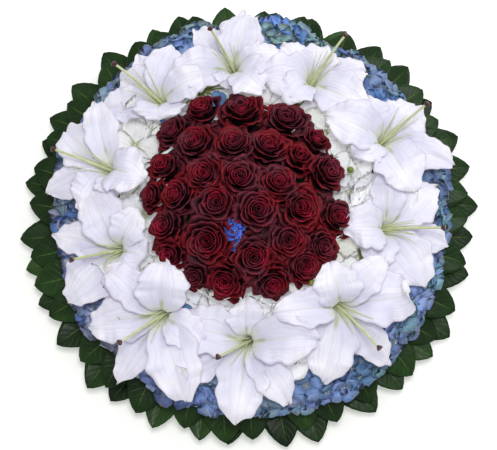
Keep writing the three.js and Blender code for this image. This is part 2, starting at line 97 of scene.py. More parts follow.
def heading(angle):
    """Level direction at an angle in radians."""
    return np.array([math.cos(angle), math.sin(angle), 0.0])


def leaning(tilt, azimuth):
    """Direction at an angle from +Z, leaning towards an azimuth, both in degrees."""
    t, a = math.radians(tilt), math.radians(azimuth)
    return np.array([math.sin(t) * math.cos(a), math.sin(t) * math.sin(a), math.cos(t)])


def unit(vectors):
    length = np.linalg.norm(vectors, axis=-1, keepdims=True)
    return vectors / np.maximum(length, 1e-9)


def axes_at(axis, azimuth):
    """Columns x, y, z with z along the axis and x leaning towards the azimuth."""
    z = unit(np.array(axis, float))
    x = leaning(90, azimuth)
    x = unit(x - z * x.dot(z))
    return np.stack([x, np.cross(z, x), z], axis=1)


def round_about(radius, angle, z):
    """Points at radii and angles round the axis."""
    return np.stack([radius * np.cos(angle), radius * np.sin(angle), z], -1)


def square(rows, columns, low=0.0, side=1.0):
    """Shares along, from low to 1, and across, from minus side to 1, over a grid."""
    return np.meshgrid(np.linspace(low, 1, rows), np.linspace(-side, 1, columns), indexing="ij")


# ---- Mesh building ----


class Skin:
    """Collects closed sheets, tubes and knobs, in millimetres, into one mesh with its UV map."""

    def __init__(self):
        self.points, self.faces, self.uvs, self.tones, self.unders, self.slots = [], [], [], [], [], []
        self.count = 0

    def add(self, points, faces, uv, tone=0.5, under=0.0, slot=0):
        size = len(points)
        self.points.append(points)
        self.faces.append(np.asarray(faces) + self.count)
        self.uvs.append(uv)
        self.tones.append(np.broadcast_to(tone, size))
        self.unders.append(np.broadcast_to(under, size))
        self.slots.append(np.full(len(faces), slot))
        self.count += size

    def sheet(self, grid, thick, tone=0.5, slot=0):
        """A thin closed petal or leaf from a grid of points [along][across]."""
        rows, columns = grid.shape[:2]
        half = unit(np.cross(np.gradient(grid, axis=1), np.gradient(grid, axis=0)))
        half = half * (np.broadcast_to(thick, (rows, columns)) / 2)[..., None]
        v, u = square(rows, columns, side=0.0)
        uv = np.stack([u, v], -1).reshape(-1, 2)
        total = rows * columns
        quads = grid_quads(rows, columns)
        edge = border(rows, columns)
        ahead = np.roll(edge, -1)
        rim = np.stack([ahead, edge, edge + total, ahead + total], 1)
        faces = np.concatenate([quads, quads[:, ::-1] + total, rim])
        points = np.concatenate([(grid + half).reshape(-1, 3), (grid - half).reshape(-1, 3)])
        self.add(points, faces, np.concatenate([uv, uv]), tone, np.repeat([0.0, 1.0], total), slot)

    def tube(self, path, radii, sides=8, lobes=None, slot=0):
        """A closed tube along a path; lobes(angle, i) may swell its section."""
        path, radii = np.asarray(path, float), np.broadcast_to(radii, len(path))
        tangent = unit(np.gradient(path, axis=0))
        side = unit(np.cross(tangent, leaning(90, 17) + np.array([0, 0, 0.31])))
        other = np.cross(tangent, side)
        angle = np.arange(sides) / sides * 2 * math.pi
        swell = np.ones((len(path), sides))
        if lobes:
            swell = np.array([[lobes(a, i) for a in angle] for i in range(len(path))])
        ring = np.cos(angle)[:, None] * side[:, None] + np.sin(angle)[:, None] * other[:, None]
        body = path[:, None] + ring * (radii[:, None] * swell)[..., None]
        points = np.concatenate([body.reshape(-1, 3), path[:1], path[-1:]])
        v, u = np.meshgrid(np.linspace(0, 1, len(path)), angle / (2 * math.pi), indexing="ij")
        uv = np.concatenate([np.stack([u, v], -1).reshape(-1, 2), [[0.5, 0], [0.5, 1]]])
        self.add(points, ring_faces(len(path), sides), uv, slot=slot)

    def build(self, name, materials):
        points = np.concatenate(self.points) * MM
        faces = np.concatenate(self.faces).tolist()
        faces = [face if face[2] != face[3] else face[:3] for face in faces]
        mesh = bpy.data.meshes.new(name)
        mesh.from_pydata(points.tolist(), [], faces)
        corner = np.empty(len(mesh.loops), dtype=np.int32)
        mesh.loops.foreach_get("vertex_index", corner)
        uvs = np.concatenate(self.uvs)[corner]
        mesh.uv_layers.new(name="UVMap").data.foreach_set("uv", uvs.ravel())
        for label, values in (("tone", self.tones), ("under", self.unders)):
            data = mesh.attributes.new(label, "FLOAT", "POINT").data
            data.foreach_set("value", np.concatenate(values))
        mesh.polygons.foreach_set("material_index", np.concatenate(self.slots).astype(np.int32))
        mesh.polygons.foreach_set("use_smooth", np.ones(len(faces), dtype=bool))
        for material in materials:
            mesh.materials.append(material)
        mesh.update()
        return placed_object(name, mesh)


def placed_object(name, data):
    thing = bpy.data.objects.new(name, data)
    bpy.context.scene.collection.objects.link(thing)
    return thing


def grid_quads(rows, columns, wrap=False):
    across = columns if wrap else columns - 1
    i, j = np.meshgrid(np.arange(rows - 1), np.arange(across), indexing="ij")
    a, b = i * columns + j, i * columns + (j + 1) % columns
    return np.stack([a, b, b + columns, a + columns], -1).reshape(-1, 4)


def ring_faces(rows, sides):
    """Faces of a closed body of rings whose two end points follow its last ring."""
    around = np.arange(sides)
    ahead = np.roll(around, -1)
    total = rows * sides
    tip = np.full(sides, total)
    foot = np.stack([ahead, around, tip, tip], 1)
    top = np.stack([around + total - sides, ahead + total - sides, tip + 1, tip + 1], 1)
    return np.concatenate([grid_quads(rows, sides, wrap=True), foot, top])


def border(rows, columns):
    """Indices round the edge of a grid, in the order in which its faces wind."""
    top = np.arange(columns - 1)
    right = np.arange(rows - 1) * columns + columns - 1
    bottom = (rows - 1) * columns + np.arange(columns - 1, 0, -1)
    left = np.arange(rows - 1, 0, -1) * columns
    return np.concatenate([top, right, bottom, left])


def dress(piece, slot, *nodes):
    """Lets a finished piece ride on the wreath and stand for its solids."""
    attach(piece, BODY)
    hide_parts(*nodes)


# ---- Node trees and materials ----


class Signal:
    """What a socket carries. Sums and products with it add Math nodes to its tree."""

    def __init__(self, tree, socket):
        self.tree, self.socket = tree, socket

    def maths(self, operation, *values, clamp=False):
        values = dict(zip(("Value", "Value_001"), values))
        return self.tree.add("ShaderNodeMath", {"operation": operation, "use_clamp": clamp}, **values)

    def __add__(self, other):
        return self.maths("ADD", self, other)

    def __sub__(self, other):
        return self.maths("SUBTRACT", self, other)

    def __rsub__(self, other):
        return self.maths("SUBTRACT", other, self)

    def __mul__(self, other):
        return self.maths("MULTIPLY", self, other)

    def __pow__(self, other):
        return self.maths("POWER", self, other)

    def __abs__(self):
        return self.maths("ABSOLUTE", self)

    __radd__ = __add__

    def clamped(self):
        return self.maths("MULTIPLY", self, 1.0, clamp=True)

    def step(self, low, high):
        """0 below low, 1 above high, smooth between."""
        settings = {"interpolation_type": "SMOOTHSTEP"}
        return self.tree.add("ShaderNodeMapRange", settings, Value=self, From_Min=low, From_Max=high)


class Tree:
    """A node tree. add() makes a node, feeds its sockets and hands back one output as a Signal."""

    def __init__(self, tree):
        self.tree = tree

    def add(self, kind, settings=None, out=None, **values):
        node = self.tree.nodes.new(kind)
        for key, value in (settings or {}).items():
            setattr(node, key, value)
        self.feed(node, values)
        found = (s for s in node.outputs if s.enabled and out in (None, s.identifier, s.name))
        return Signal(self, next(found))

    def feed(self, node, values):
        for key, value in values.items():
            names = {key, key.replace("_", " ")}
            socket = next(s for s in node.inputs if s.enabled and names & {s.identifier, s.name})
            if isinstance(value, Signal):
                self.tree.links.new(value.socket, socket)
            else:
                socket.default_value = rgba(value) if socket.type == "RGBA" else value


class Finish(Tree):
    """One material, its shader's sockets set by surface()."""

    def __init__(self, name):
        self.material = bpy.data.materials.new(name)
        self.material.use_nodes = True
        super().__init__(self.material.node_tree)

    def surface(self, **values):
        self.feed(self.tree.nodes["Principled BSDF"], values)
        return self.material

    def attribute(self, name, output="Fac"):
        return self.add("ShaderNodeAttribute", {"attribute_name": name}, output)

    def uv(self):
        x = self.add("ShaderNodeSeparateXYZ", Vector=self.add("ShaderNodeUVMap", {"uv_map": "UVMap"}))
        return x, Signal(self, x.socket.node.outputs["Y"])

    def petal(self):
        """Shares across and along a petal, how far from its midrib, its tone, and 1 on its back."""
        u, v = self.uv()
        return u, v, abs(u - 0.5) * 2, self.attribute("tone"), self.attribute("under")

    def place(self):
        return self.add("ShaderNodeTexCoord", out="Object")

    def noise(self, scale, detail=3.0, vector=None):
        vector = vector or self.place()
        return self.add("ShaderNodeTexNoise", out="Fac", Vector=vector, Scale=scale, Detail=detail)

    def ramp(self, fac, *stops):
        colour = self.add("ShaderNodeValToRGB", out="Color", Fac=fac)
        elements = colour.socket.node.color_ramp.elements
        for _ in range(len(stops) - 2):
            elements.new(0.5)
        for element, (position, tint) in zip(elements, stops):
            element.position, element.color = position, rgba(tint)
        return colour

    def mix(self, fac, a, b, blend="MIX"):
        settings = {"data_type": "RGBA", "blend_type": blend}
        values = {"Factor_Float": fac, "A_Color": a, "B_Color": b}
        return self.add("ShaderNodeMix", settings, "Result_Color", **values)

    def layers(self, colour, *over):
        """A colour with others laid over it, each by its own share."""
        for share, other in over:
            colour = self.mix(share, colour, other)
        return colour

    def streaks(self, detail, x, y, z):
        """Noise drawn out along a petal."""
        return self.noise(1.0, detail, self.add("ShaderNodeCombineXYZ", X=x, Y=y, Z=z))

    def bump(self, height, strength=0.4, distance=0.0006):
        return self.add("ShaderNodeBump", Height=height, Strength=strength, Distance=distance)


def rgba(web_colour):
    """Linear colour of a web colour such as 8f0d1c."""
    parts = [int(web_colour[i : i + 2], 16) / 255 for i in (0, 2, 4)]
    return (*(c / 12.92 if c <= 0.04045 else ((c + 0.055) / 1.055) ** 2.4 for c in parts), 1)


def rose_finish():
    f = Finish("rose_velvet")
    u, v, middle, tone, under = f.petal()
    streaks = f.streaks(4.0, u * 16, v * 2.5, tone * 40)
    heart_highlight_streaks = f.streaks(1.0, u * 2.5, v * 1.5, tone * 90)
    patch = f.noise(24.0, 2.0)
    # depth: painted shade, near black at each petal's foot deep in the cup and lighter towards the lit
    # rim, broken by streaks
    depth = (v.step(0.55, 1.0) ** (2.6 - tone * 1.6) * 0.85 + streaks * 0.5 - 0.25).clamped()
    # heart: where a painted crimson highlight falls on the inner petals
    heart = (1 - tone.step(0.4, 0.7)) * v.step(0.8, 1.0) * heart_highlight_streaks.step(0.5, 0.6)
    # plum: a painted velvet sheen, laid over the red in noise patches and dark where the painted shade
    # is
    plum_sheen = f.ramp(depth, (0.0, "050102"), (0.4, "1a070e"), (0.7, "3d1a25"), (1.0, "6c3343"))
    colour = f.layers(
        # red running from painted shade at the foot to the lit rim
        f.ramp(depth, (0.0, "040001"), (0.35, "160306"), (0.65, "500a13"), (1.0, "8c0f1c")),
        (patch.step(0.42, 0.6) * 0.85, plum_sheen),
        # painted plum sheen on the front of each petal towards its rim
        ((1 - under) * v.step(0.7, 0.98) * 0.45, "5a2431"),
        # painted highlight along the rims
        (v.step(0.93, 1.0) * streaks.step(0.3, 0.65) * (0.35 + middle * 0.25), "8a2336"),
        # painted crimson highlight on the heart petals
        (heart * (0.3 + (1 - patch).step(0.4, 0.6)), "a0143a"),
    )
    bump = f.bump(f.noise(900.0, 2.0) * 0.4 + streaks, 0.45, 0.0007)
    f.surface(Sheen_Weight=0.12, Sheen_Roughness=0.4, Sheen_Tint="9a5a70", Specular_IOR_Level=0.15)
    return f.surface(Base_Color=colour, Roughness=0.62 - v * 0.1, Normal=bump)


def green_finish(name, low, high, roughness=0.5):
    f = Finish(name)
    colour = f.ramp(f.noise(120.0), (0.3, low), (0.7, high))
    return f.surface(Base_Color=colour, Roughness=roughness, Normal=f.bump(f.noise(600.0), 0.2))


def lily_finish():
    f = Finish("lily_petal")
    u, v, middle, tone, under = f.petal()
    veins = f.streaks(4.0, u * 34, v * 1.6, tone * 20)
    cloud = f.noise(34.0, 3.0)
    rib = 1 - middle.step(0.0, 0.07)
    crease_shade = (1 - abs(middle - 0.42).step(0.0, 0.05)) * v.step(0.3, 0.5) * (1 - v.step(0.8, 0.95))
    furrow = (1 - middle.step(0.03, 0.2)) * v.step(0.14, 0.24) * (1 - v.step(0.28, 0.4)) * (1 - under)
    body = f.layers(
        f.ramp(cloud * 0.6 + veins * 0.4, (0.3, "d8d7ec"), (0.5, "ebe9f8"), (0.68, "fbf9ff")),
        ((1 - v.step(0.25, 0.8)) * (0.3 + cloud * 0.4), "c3c6e0"),  # painted shade towards the heart
        # painted shade along a crease either side of the midrib
        (crease_shade * veins.step(0.35, 0.6) * 0.4, "bcbcd8"),
        (rib * (1 - v.step(0.45, 0.9)) * 0.45, "ccd4b8"),
        (furrow * 0.6, "98aa5a"),
        ((1 - v.step(0.17, 0.34)) * 0.5, "dde4bc"),  # throat
        (v.step(0.95, 1.0) * 0.5, "dcd6b4"),  # tip
        (under * (1 - middle.step(0.05, 0.3)) * 0.5, "e0e3bd"),  # back of the midrib
        (middle.step(0.93, 1.0) * 0.55, "cdb4cc"),  # edge
    )
    bump = f.bump(veins * 0.8 + cloud * 0.3 + rib * 0.2, 0.5, 0.0015)
    f.surface(Subsurface_Weight=0.15, Subsurface_Radius=(0.6, 0.6, 0.7), Subsurface_Scale=0.003)
    # emission of the petal's own colour: a faint painted glow that lifts its shade
    f.surface(Emission_Color=body, Emission_Strength=0.07, Sheen_Weight=0.05, Specular_IOR_Level=0.35)
    return f.surface(Base_Color=body, Roughness=0.45 + veins * 0.12, Normal=bump)


def stigma_finish():
    f = Finish("lily_stigma")
    colour = f.ramp(f.noise(500.0), (0.35, "2c0a0c"), (0.7, "5e1f20"))
    bump = f.bump(f.noise(900.0), 0.3)
    return f.surface(Base_Color=colour, Roughness=0.35, Normal=bump, Coat_Weight=0.4)


def floret_finish(name, eye, painted_glow):
    """A tint for each floret, a small eye, soft veins and a faint painted glow that lifts the shade
    between florets.
    """
    f = Finish(name)
    u, v = f.uv()
    veins = f.streaks(3.0, u * 14, v * 3, 0.0)
    shade = f.ramp(veins + v.step(0.0, 0.8) * 0.3, (0.3, "dadbe0"), (0.8, "ffffff"))
    colour = f.mix(1.0, f.attribute("tint", "Color"), shade, "MULTIPLY")
    colour = f.mix(1 - v.step(0.08, 0.24), colour, eye)
    f.surface(Subsurface_Weight=0.15, Subsurface_Scale=0.003, Sheen_Weight=0.1)
    # painted glow of the floret's own colour, lifting the shade between florets
    f.surface(Emission_Color=colour, Emission_Strength=painted_glow)
    return f.surface(Base_Color=colour, Roughness=0.6, Normal=f.bump(veins, 0.4, 0.0005))


def leaf_finish():
    f = Finish("camellia_leaf")
    _, v, middle, tone, under = f.petal()
    mottle = f.noise(45.0, 4.0)
    stripe = v * 13 - middle * 2.4
    side = abs(stripe.maths("FRACT", stripe) - 0.5)
    vein = (1 - side.step(0.0, 0.12)) * (1 - middle.step(0.75, 0.98)) * 0.12
    rib = (1 - middle.step(0.01, 0.05)) * (1 - v.step(0.8, 1.0))
    green = f.layers(
        f.ramp(mottle * 0.6 + tone * 0.4, (0.25, "0c1f08"), (0.55, "1e3a14"), (0.85, "345722")),
        (vein, "38561f"),
        (rib * 0.55, "5c7a36"),
        (under * 0.75, "55743c"),
    )
    bump = f.bump(mottle * 0.4 + side.step(0.0, 0.2) * 0.4 + middle.step(0.0, 0.1) * 0.5, 0.5, 0.0012)
    gloss = 0.3 + mottle * 0.16 + under * 0.3
    f.surface(Coat_Weight=0.08 - under * 0.07, Coat_Roughness=0.2, Specular_IOR_Level=0.16)
    return f.surface(Base_Color=green, Roughness=gloss, Normal=bump)


def foam_finish():
    f = Finish("foam_cells")
    cells = f.add("ShaderNodeTexVoronoi", out="Distance", Vector=f.place(), Scale=700.0)
    patch = f.noise(60.0)
    colour = f.ramp(cells * 0.6 + patch * 0.5, (0.2, "12281a"), (0.6, "2b4f33"), (0.9, "41694a"))
    return f.surface(Base_Color=colour, Roughness=0.9, Normal=f.bump(cells + patch, 0.7, 0.001))


def tray_finish():
    f = Finish("tray_plastic")
    scuff = f.noise(160.0, 5.0)
    colour = f.ramp(f.noise(20.0), (0.3, "173424"), (0.7, "1f4530"))
    bump = f.bump(scuff, 0.12, 0.0003)
    return f.surface(Base_Color=colour, Roughness=0.36 + scuff * 0.25, Normal=bump)


def floor_finish():
    f = Finish("studio_floor")
    f.surface(Emission_Color="ffffff", Emission_Strength=0.3, Specular_IOR_Level=0.1)
    return f.surface(Base_Color=f.ramp(f.noise(3.0), (0.3, "fbfbf8"), (0.7, "fefefc")), Roughness=0.8)


# ---- Roses ----


def node_points(node):
    """A CAD node's corners in millimetres."""
    mesh = frame["nodes"][node].data
    points = np.empty(len(mesh.vertices) * 3)
    mesh.vertices.foreach_get("co", points)
    return points.reshape(-1, 3) / MM


def rose_seats():
    """Foot, axis, crown height and half width of each rose, read from its solid."""
    focus = bpy.context.scene.wreath_roses.focus
    return [rose_seat(node, focus) for node in sorted(frame["nodes"]) if node.startswith("rose_")]


def rose_seat(node, focus):
    points = node_points(node)
    foot = points[points[:, 2] < points[:, 2].min() + 4].mean(axis=0)
    axis = unit(foot - np.array([0, 0, focus]))
    height = (points - foot).dot(axis)
    radius = np.linalg.norm(points - foot - height[:, None] * axis, axis=1)
    return foot, axis, height.max(), radius.max() / SOLID_CORNERS


SOLID_CORNERS = 1.09  # how far the corners of a rose's solid stand out, over its half width
ROSE_DEPTH, ROSE_DEPTH_SHARE = 26, 0.76  # height of a head of no width, and what its half width adds
LEAST_STEM = 20  # what a head leaves of its stem above the cut end
NEXT_RING = 137.5  # turn of each ring of petals past the one inside it, in degrees
PETAL_ROWS, PETAL_COLUMNS = 13, 15

# Rings of petals from the heart outwards: rim radius as a share of the half width, petals in the
# ring, how far each wraps to either side in degrees, and how far its rim stands below the crown.
FULL_ROSE = (
    (0.09, 1, 170, 0.16),
    (0.17, 2, 112, 0.12),
    (0.27, 3, 84, 0.05),
    (0.38, 3, 80, 0.0),
    (0.52, 4, 66, 0.0),
    (0.69, 4, 62, 0.09),
    (0.88, 5, 52, 0.3),
    (1.08, 5, 50, 0.62),
)
SMALL_ROSE = (
    (0.12, 1, 170, 0.04),
    (0.23, 2, 112, 0.0),
    (0.38, 3, 84, 0.0),
    (0.56, 4, 66, 0.06),
    (0.8, 4, 60, 0.26),
    (1.05, 5, 52, 0.6),
)


def rose_petal(ring, half_width, height, turn, number):
    """Grid of one petal in the flower's own frame, crown at z = 0."""
    rim_share, _, wrap, below = ring
    v, u = square(PETAL_ROWS, PETAL_COLUMNS)
    outer = min(1.0, max(0.0, (rim_share - 0.3) / 0.75))
    wrap = math.radians(wrap + spread(number, 1, 6))
    wave = 0.05 * np.sin(u * lerp(3, 6, scatter(number, 3)) + number)
    wave = wave + 0.02 * np.sin(u * 11 + number * 2.3)
    notch = -0.09 * scatter(number, 8) * np.exp(-(((u - spread(number, 9, 0.6)) / 0.16) ** 2))
    point = 0.07 * scatter(number, 10) * np.exp(-((u / 0.18) ** 2))
    rise = v * (1 - (0.06 + 0.14 * outer) * np.abs(u) ** 3 + (point + wave + notch) * (0.35 + outer))
    belly = half_width * (0.03 + 0.58 * rim_share)
    edge = half_width * rim_share * (1 + spread(number, 4, 0.07))
    swell = (1 - np.clip(1 - rise / 0.8, 0, 1) ** 2.4) ** 0.8
    radius = 1.0 + (belly - 1.0) * swell + (edge - belly) * np.clip((rise - 0.3) / 0.7, 0, None) ** 2.0
    roll = np.clip((rise - 0.86) / 0.14, 0, 1.4)
    corner = 0.55 + 0.8 * np.abs(u - spread(number, 11, 0.5)) ** 1.7
    radius += (0.25 + 1.9 * outer) * roll**1.3 * corner
    radius += belly * 0.13 * u * np.clip(rise * 1.5, 0, 1)
    radius += half_width * 0.05 * np.sin(u * 4 + number * 1.7) * rise**2 * (0.25 + outer)
    top = -half_width * (below + spread(number, 12, 0.035))
    z = -height + (height + top) * rise**0.8
    z -= (0.3 + 3.2 * outer) * roll**2 * corner
    z -= half_width * 0.3 * outer**2 * np.clip(rise - 0.6, 0, 1) ** 1.2
    z += half_width * 0.045 * np.sin(u * 5 + number) * rise**3 * (0.3 + outer)
    angle = turn + u * wrap * (1 - 0.12 * (1 - rise))
    tilt = spread(number, 5, 0.14) * rim_share * radius * rise
    return round_about(radius, angle, z + tilt * u)


def rose_mesh(skin, seat, number, rings):
    """Rings of petals round a tight heart, then hip, sepals and the stem down to its cut end."""
    foot, axis, crown, half_width = seat
    height = min(ROSE_DEPTH + ROSE_DEPTH_SHARE * half_width, crown - LEAST_STEM)
    basis = axes_at(axis, 360 * scatter(number, 1))
    lean = np.array([spread(number, 13, 0.16), spread(number, 14, 0.16), 1.0])
    basis = axes_at(basis @ unit(lean), 360 * scatter(number, 1))
    origin = foot + axis * crown

    def placed(grid):
        return grid @ basis.T + origin

    spin = 360 * scatter(number, 2)
    thick = 0.6 - 0.25 * np.linspace(0, 1, PETAL_ROWS)[:, None] ** 2
    petal = number * 40
    for row, ring in enumerate(rings):
        for k in range(ring[1]):
            turn = math.radians(spin + row * NEXT_RING + (k + spread(petal, 6, 0.09)) * 360 / ring[1])
            grid = rose_petal(ring, half_width, height, turn, petal)
            tone = 0.1 + 0.85 * row / (len(rings) - 1) + spread(petal, 7, 0.08)
            skin.sheet(placed(grid), thick, tone=tone)
            petal += 1
    hip = np.array([[0, 0, z - height] for z in (-9, -6, -1, 5)])
    skin.tube(placed(hip), [2.6, 5.2, 6.6, 5.5], sides=10, slot=1)
    for k in range(5):
        skin.sheet(placed(sepal(math.radians(72 * k + spin), height, number * 5 + k)), 0.7, slot=1)
    stem = np.array([foot, foot + axis * (crown - height) / 2, placed(np.array([0, 0, -height - 8]))])
    skin.tube(stem, 2.5, sides=7, slot=1)


def sepal(turn, height, number):
    v, u = square(6, 4)
    half = 4.2 * (1 - v) ** 0.8 + 0.2
    out = 6 + 15 * v
    drop = -height + 1 - 3 * v - (8 + 4 * scatter(number, 9)) * v**2
    angle = turn + u * half / out
    return round_about(out, angle, drop + 0.6 * np.abs(u))


class RoseSizes(bpy.types.PropertyGroup):
    focus: FloatProperty(
        name="Focus", description="Height that the stems point at, in millimetres", default=-70.0
    )
    small_width: FloatProperty(
        name="Small rose", description="Narrower heads have fewer petals, in millimetres", default=42.0
    )
    open_wide: FloatProperty(
        name="Open", description="Width over that of the solid head", default=1.04, min=0.8, max=1.2
    )


class WREATH_OT_roses(bpy.types.Operator):
    """Make the dome of dark red roses"""

    bl_idname = "wreath.roses"
    bl_label = "Roses"

    def execute(self, context):
        sizes = context.scene.wreath_roses
        materials = [rose_finish(), green_finish("rose_stem", "2c4a1e", "4a6a2c")]
        for number, (*seat, half_width) in enumerate(rose_seats()):
            rings = FULL_ROSE if half_width * 2 > sizes.small_width else SMALL_ROSE
            skin = Skin()
            rose_mesh(skin, (*seat, half_width * sizes.open_wide), number, rings)
            piece = skin.build(f"rose_head_{number + 1:02d}", materials)
            dress(piece, "rose_petals", f"rose_{number + 1:02d}")
        return {"FINISHED"}


# ---- Lilies ----
# Throat, lean of the flower and its azimuth, and six tepals as azimuth and reach in plan, wide and
# narrow by turns. A third number rolls that tepal's tip by so many degrees, upwards where negative.
LILIES = [
    ((-20, 172, 106), 20, 138, ((78, 74), (132, 72), (186, 80), (262, 28), (320, 50), (14, 58))),
    ((-112, 134, 97), 41, 142, ((76, 70), (114, 74), (148, 62), (184, 78), (270, 30), (25, 66))),
    ((-172, 42, 104), 44, 167, ((138, 82), (196, 84), (236, 60), (290, 36), (338, 50), (104, 92))),
    ((-158, -58, 97), 30, 208, ((116, 82), (165, 84), (226, 86), (278, 62, -120), (345, 36), (62, 54))),
    ((-104, -139, 106), 34, 226,
     ((85, 62), (140, 78, -130), (187, 86), (236, 95), (286, 104), (325, 60))),
    ((-3, -168, 98), 22, 224, ((262, 96), (304, 86), (0, 84), (93, 52), (166, 90), (207, 86, -190))),
    ((110, -130, 105), 43, 308, ((257, 88), (312, 90), (8, 80, -190), (48, 78), (105, 52), (187, 80))),
    ((168, -31, 97), 41, 351, ((40, 84), (88, 74), (187, 54), (250, 54), (305, 84), (350, 82))),
    ((166, 79, 104), 35, 34, ((160, 76), (212, 46), (298, 74), (344, 92), (50, 68), (110, 58))),
    ((80, 158, 98), 39, 54, ((80, 54), (126, 62), (180, 64), (222, 50), (330, 74), (18, 74))),
]
TUBE = 38  # length of the trumpet, from the flower's base to its throat
THROAT = 7  # radius there
RIM_DEPTH = 6  # how far below the rim the tepals part
NARROW_STEP = 2  # and how much further out the narrow ones do
TEPAL_FOOT = 5.5  # half width of a tepal at the throat
STYLE_STRAIGHT = 50  # the style follows the flower's axis this far
STYLE_END = 56  # and leans out for so much more
TUBE_ROWS, BLADE_ROWS, TEPAL_COLUMNS = 6, 33, 15


def lily_basis(lily):
    at, tilt, towards, _ = lily
    basis = axes_at(leaning(tilt, towards), towards)
    return basis, np.array(at, float) - basis[:, 2] * TUBE


def bezier(a, b, c, rows):
    t = np.linspace(0, 1, rows)[:, None]
    return a * (1 - t) ** 2 + 2 * b * t * (1 - t) + c * t**2


def tepal_line(lily, number, k, sizes):
    """A tepal's midrib from the foot of the trumpet to its tip, and each point's share of the blade."""
    _, tilt, towards, tepals = lily
    azimuth, reach, *roll = tepals[k]
    narrow = k % 2
    basis, base = lily_basis(lily)
    turn = math.radians(azimuth - towards)
    rim = THROAT + NARROW_STEP * narrow
    seed = number * 6 + k
    start = sizes.rise + 4 * narrow + 0.8 * tilt * math.cos(turn)
    end = sizes.droop + spread(seed, 2, 6)
    depth = TUBE - RIM_DEPTH
    root = basis @ np.array([rim * math.cos(turn), rim * math.sin(turn), depth]) + base
    steps = 2 * BLADE_ROWS
    share = (np.arange(steps) + 0.5) / steps
    if roll:
        curl = roll[0] * np.clip((share - 0.56) / 0.44, 0, 1) ** 1.2
    else:
        curl = sizes.curl * (0.5 + scatter(seed, 3)) * np.clip((share - 0.76) / 0.24, 0, 1) ** 1.5
    angle = np.radians(lerp(start, end, share) + curl)
    out = np.concatenate([[0], np.cumsum(np.sin(angle))])[:, None]
    rise = np.concatenate([[0], np.cumsum(np.cos(angle))])[:, None]
    step = (reach - rim) / out.max()
    blade = root + (out * heading(math.radians(azimuth)) + rise * UP) * step
    blade = blade[:: steps // BLADE_ROWS]
    low = np.linspace(0, 1, TUBE_ROWS, endpoint=False)
    flare = 4.5 + (rim - 4.5) * low**1.6
    tube = np.stack([flare * math.cos(turn), flare * math.sin(turn), depth * low], -1)
    line = np.concatenate([tube @ basis.T + base, blade])
    line[1:-1] = line[1:-1] * 0.5 + (line[:-2] + line[2:]) * 0.25
    return line, np.concatenate([low - 1, np.linspace(0, 1, len(blade))])


def tepal_grid(lily, number, k, sizes):
    """One tepal from the foot of the trumpet to its tip, as a grid [along][across]."""
    _, _, towards, tepals = lily
    azimuth, _, *roll = tepals[k]
    wide, seed = k % 2 == 0, number * 6 + k
    line, s = tepal_line(lily, number, k, sizes)
    basis, _ = lily_basis(lily)
    turn = math.radians(azimuth - towards)
    tangent = unit(np.gradient(line, axis=0))
    ring_side = basis @ np.array([-math.sin(turn), math.cos(turn), 0])
    blade_side = np.cross(UP, heading(math.radians(azimuth)))
    s = s[:, None]
    share = smooth_step(-0.3, 0.15, s)
    side = unit(ring_side * (1 - share) + blade_side * share)
    twist = np.radians(spread(seed, 4, sizes.twist)) * smooth_step(0.2, 1, s)
    cosine, sine = np.cos(twist), np.sin(twist)
    up = unit(np.cross(tangent, side))
    side, up = side * cosine + up * sine, up * cosine - side * sine
    most = (sizes.inner_width if wide else sizes.outer_width) / 2 * (1 + spread(seed, 5, 0.06))
    inside = np.clip(s, 0, 1)
    full = np.sin(math.pi * inside**0.98) ** np.where(inside > 0.5, 0.55 if roll else 0.86, 0.86)
    broad = TEPAL_FOOT * (1 - inside**2) + (most - TEPAL_FOOT) * full
    half = np.where(s < 0, 3.2 + 2.3 * np.clip(s + 1, 0, 1) ** 1.3, np.maximum(broad, 0.15))
    u = np.linspace(-1, 1, TEPAL_COLUMNS)[None, :]
    edge = np.abs(u)
    open_blade = smooth_step(0.05, 0.5, s)
    gutter = half * (0.42 * (1 - open_blade) + 0.14 * open_blade) * (edge**1.5)
    keel = -1.5 * np.exp(-((u / 0.11) ** 2)) * (1 - smooth_step(0.5, 0.95, s)) * 0.8
    droop_edge = -0.1 * half * edge**3 * smooth_step(0.35, 0.8, s)
    ruffle = sizes.ruffle * (1.0 if wide else 0.7) * edge**2 * open_blade
    phase = 6.28 * scatter(seed, 6) + np.where(u > 0, 2.1 + 3 * scatter(seed, 13), 0.0)
    pace = 17 + 8 * scatter(seed, 7)
    waves = np.sin(inside * pace + phase) + 0.5 * np.sin(inside * pace * 2.3 + phase * 2)
    waves = waves + 0.25 * np.sin(inside * 60 + phase * 3)
    buckle = 1.6 * np.sin(inside * 8 + u * 3 + phase) * open_blade
    lift = gutter + keel + droop_edge + ruffle * waves * 0.5 + buckle
    wander = 1 + 0.07 * np.sin(inside * 17 + phase) * edge + 0.05 * np.sin(inside * 31 + phase)
    across = half * u * wander
    grid = line[:, None] + side[:, None] * across[..., None] + up[:, None] * lift[..., None]
    return grid[:, ::-1]


def lily_middle_paths(lily, number):
    """Style and filament paths, in the flower's own frame."""
    lean = math.radians(lily[1] * 0.7)
    bent = np.array([math.sin(lean), 0, math.cos(lean)])
    knee = np.array([0, 0, STYLE_STRAIGHT])
    sway = np.array([0, spread(number, 8, 5), 0])
    style = bezier(np.array([0, 0, 12.0]), knee * 1.1, knee + bent * STYLE_END + sway, 16)
    filaments = []
    for k in range(6):
        seed = number * 6 + k
        out = heading(math.radians(60 * k + 30 + spread(seed, 9, 9)))
        tip = knee + bent * (24 + spread(seed, 10, 6)) + out * (15 + spread(seed, 5, 5))
        middle = knee * (0.9 + 0.2 * scatter(seed, 11)) + out * 6
        filaments.append(bezier(out * 3.5 + np.array([0, 0, 20.0]), middle, tip, 12))
    return style, filaments


def three_lobes(angle, i):
    return 1 + 0.2 * math.cos(3 * angle) * min(1, i / 2)


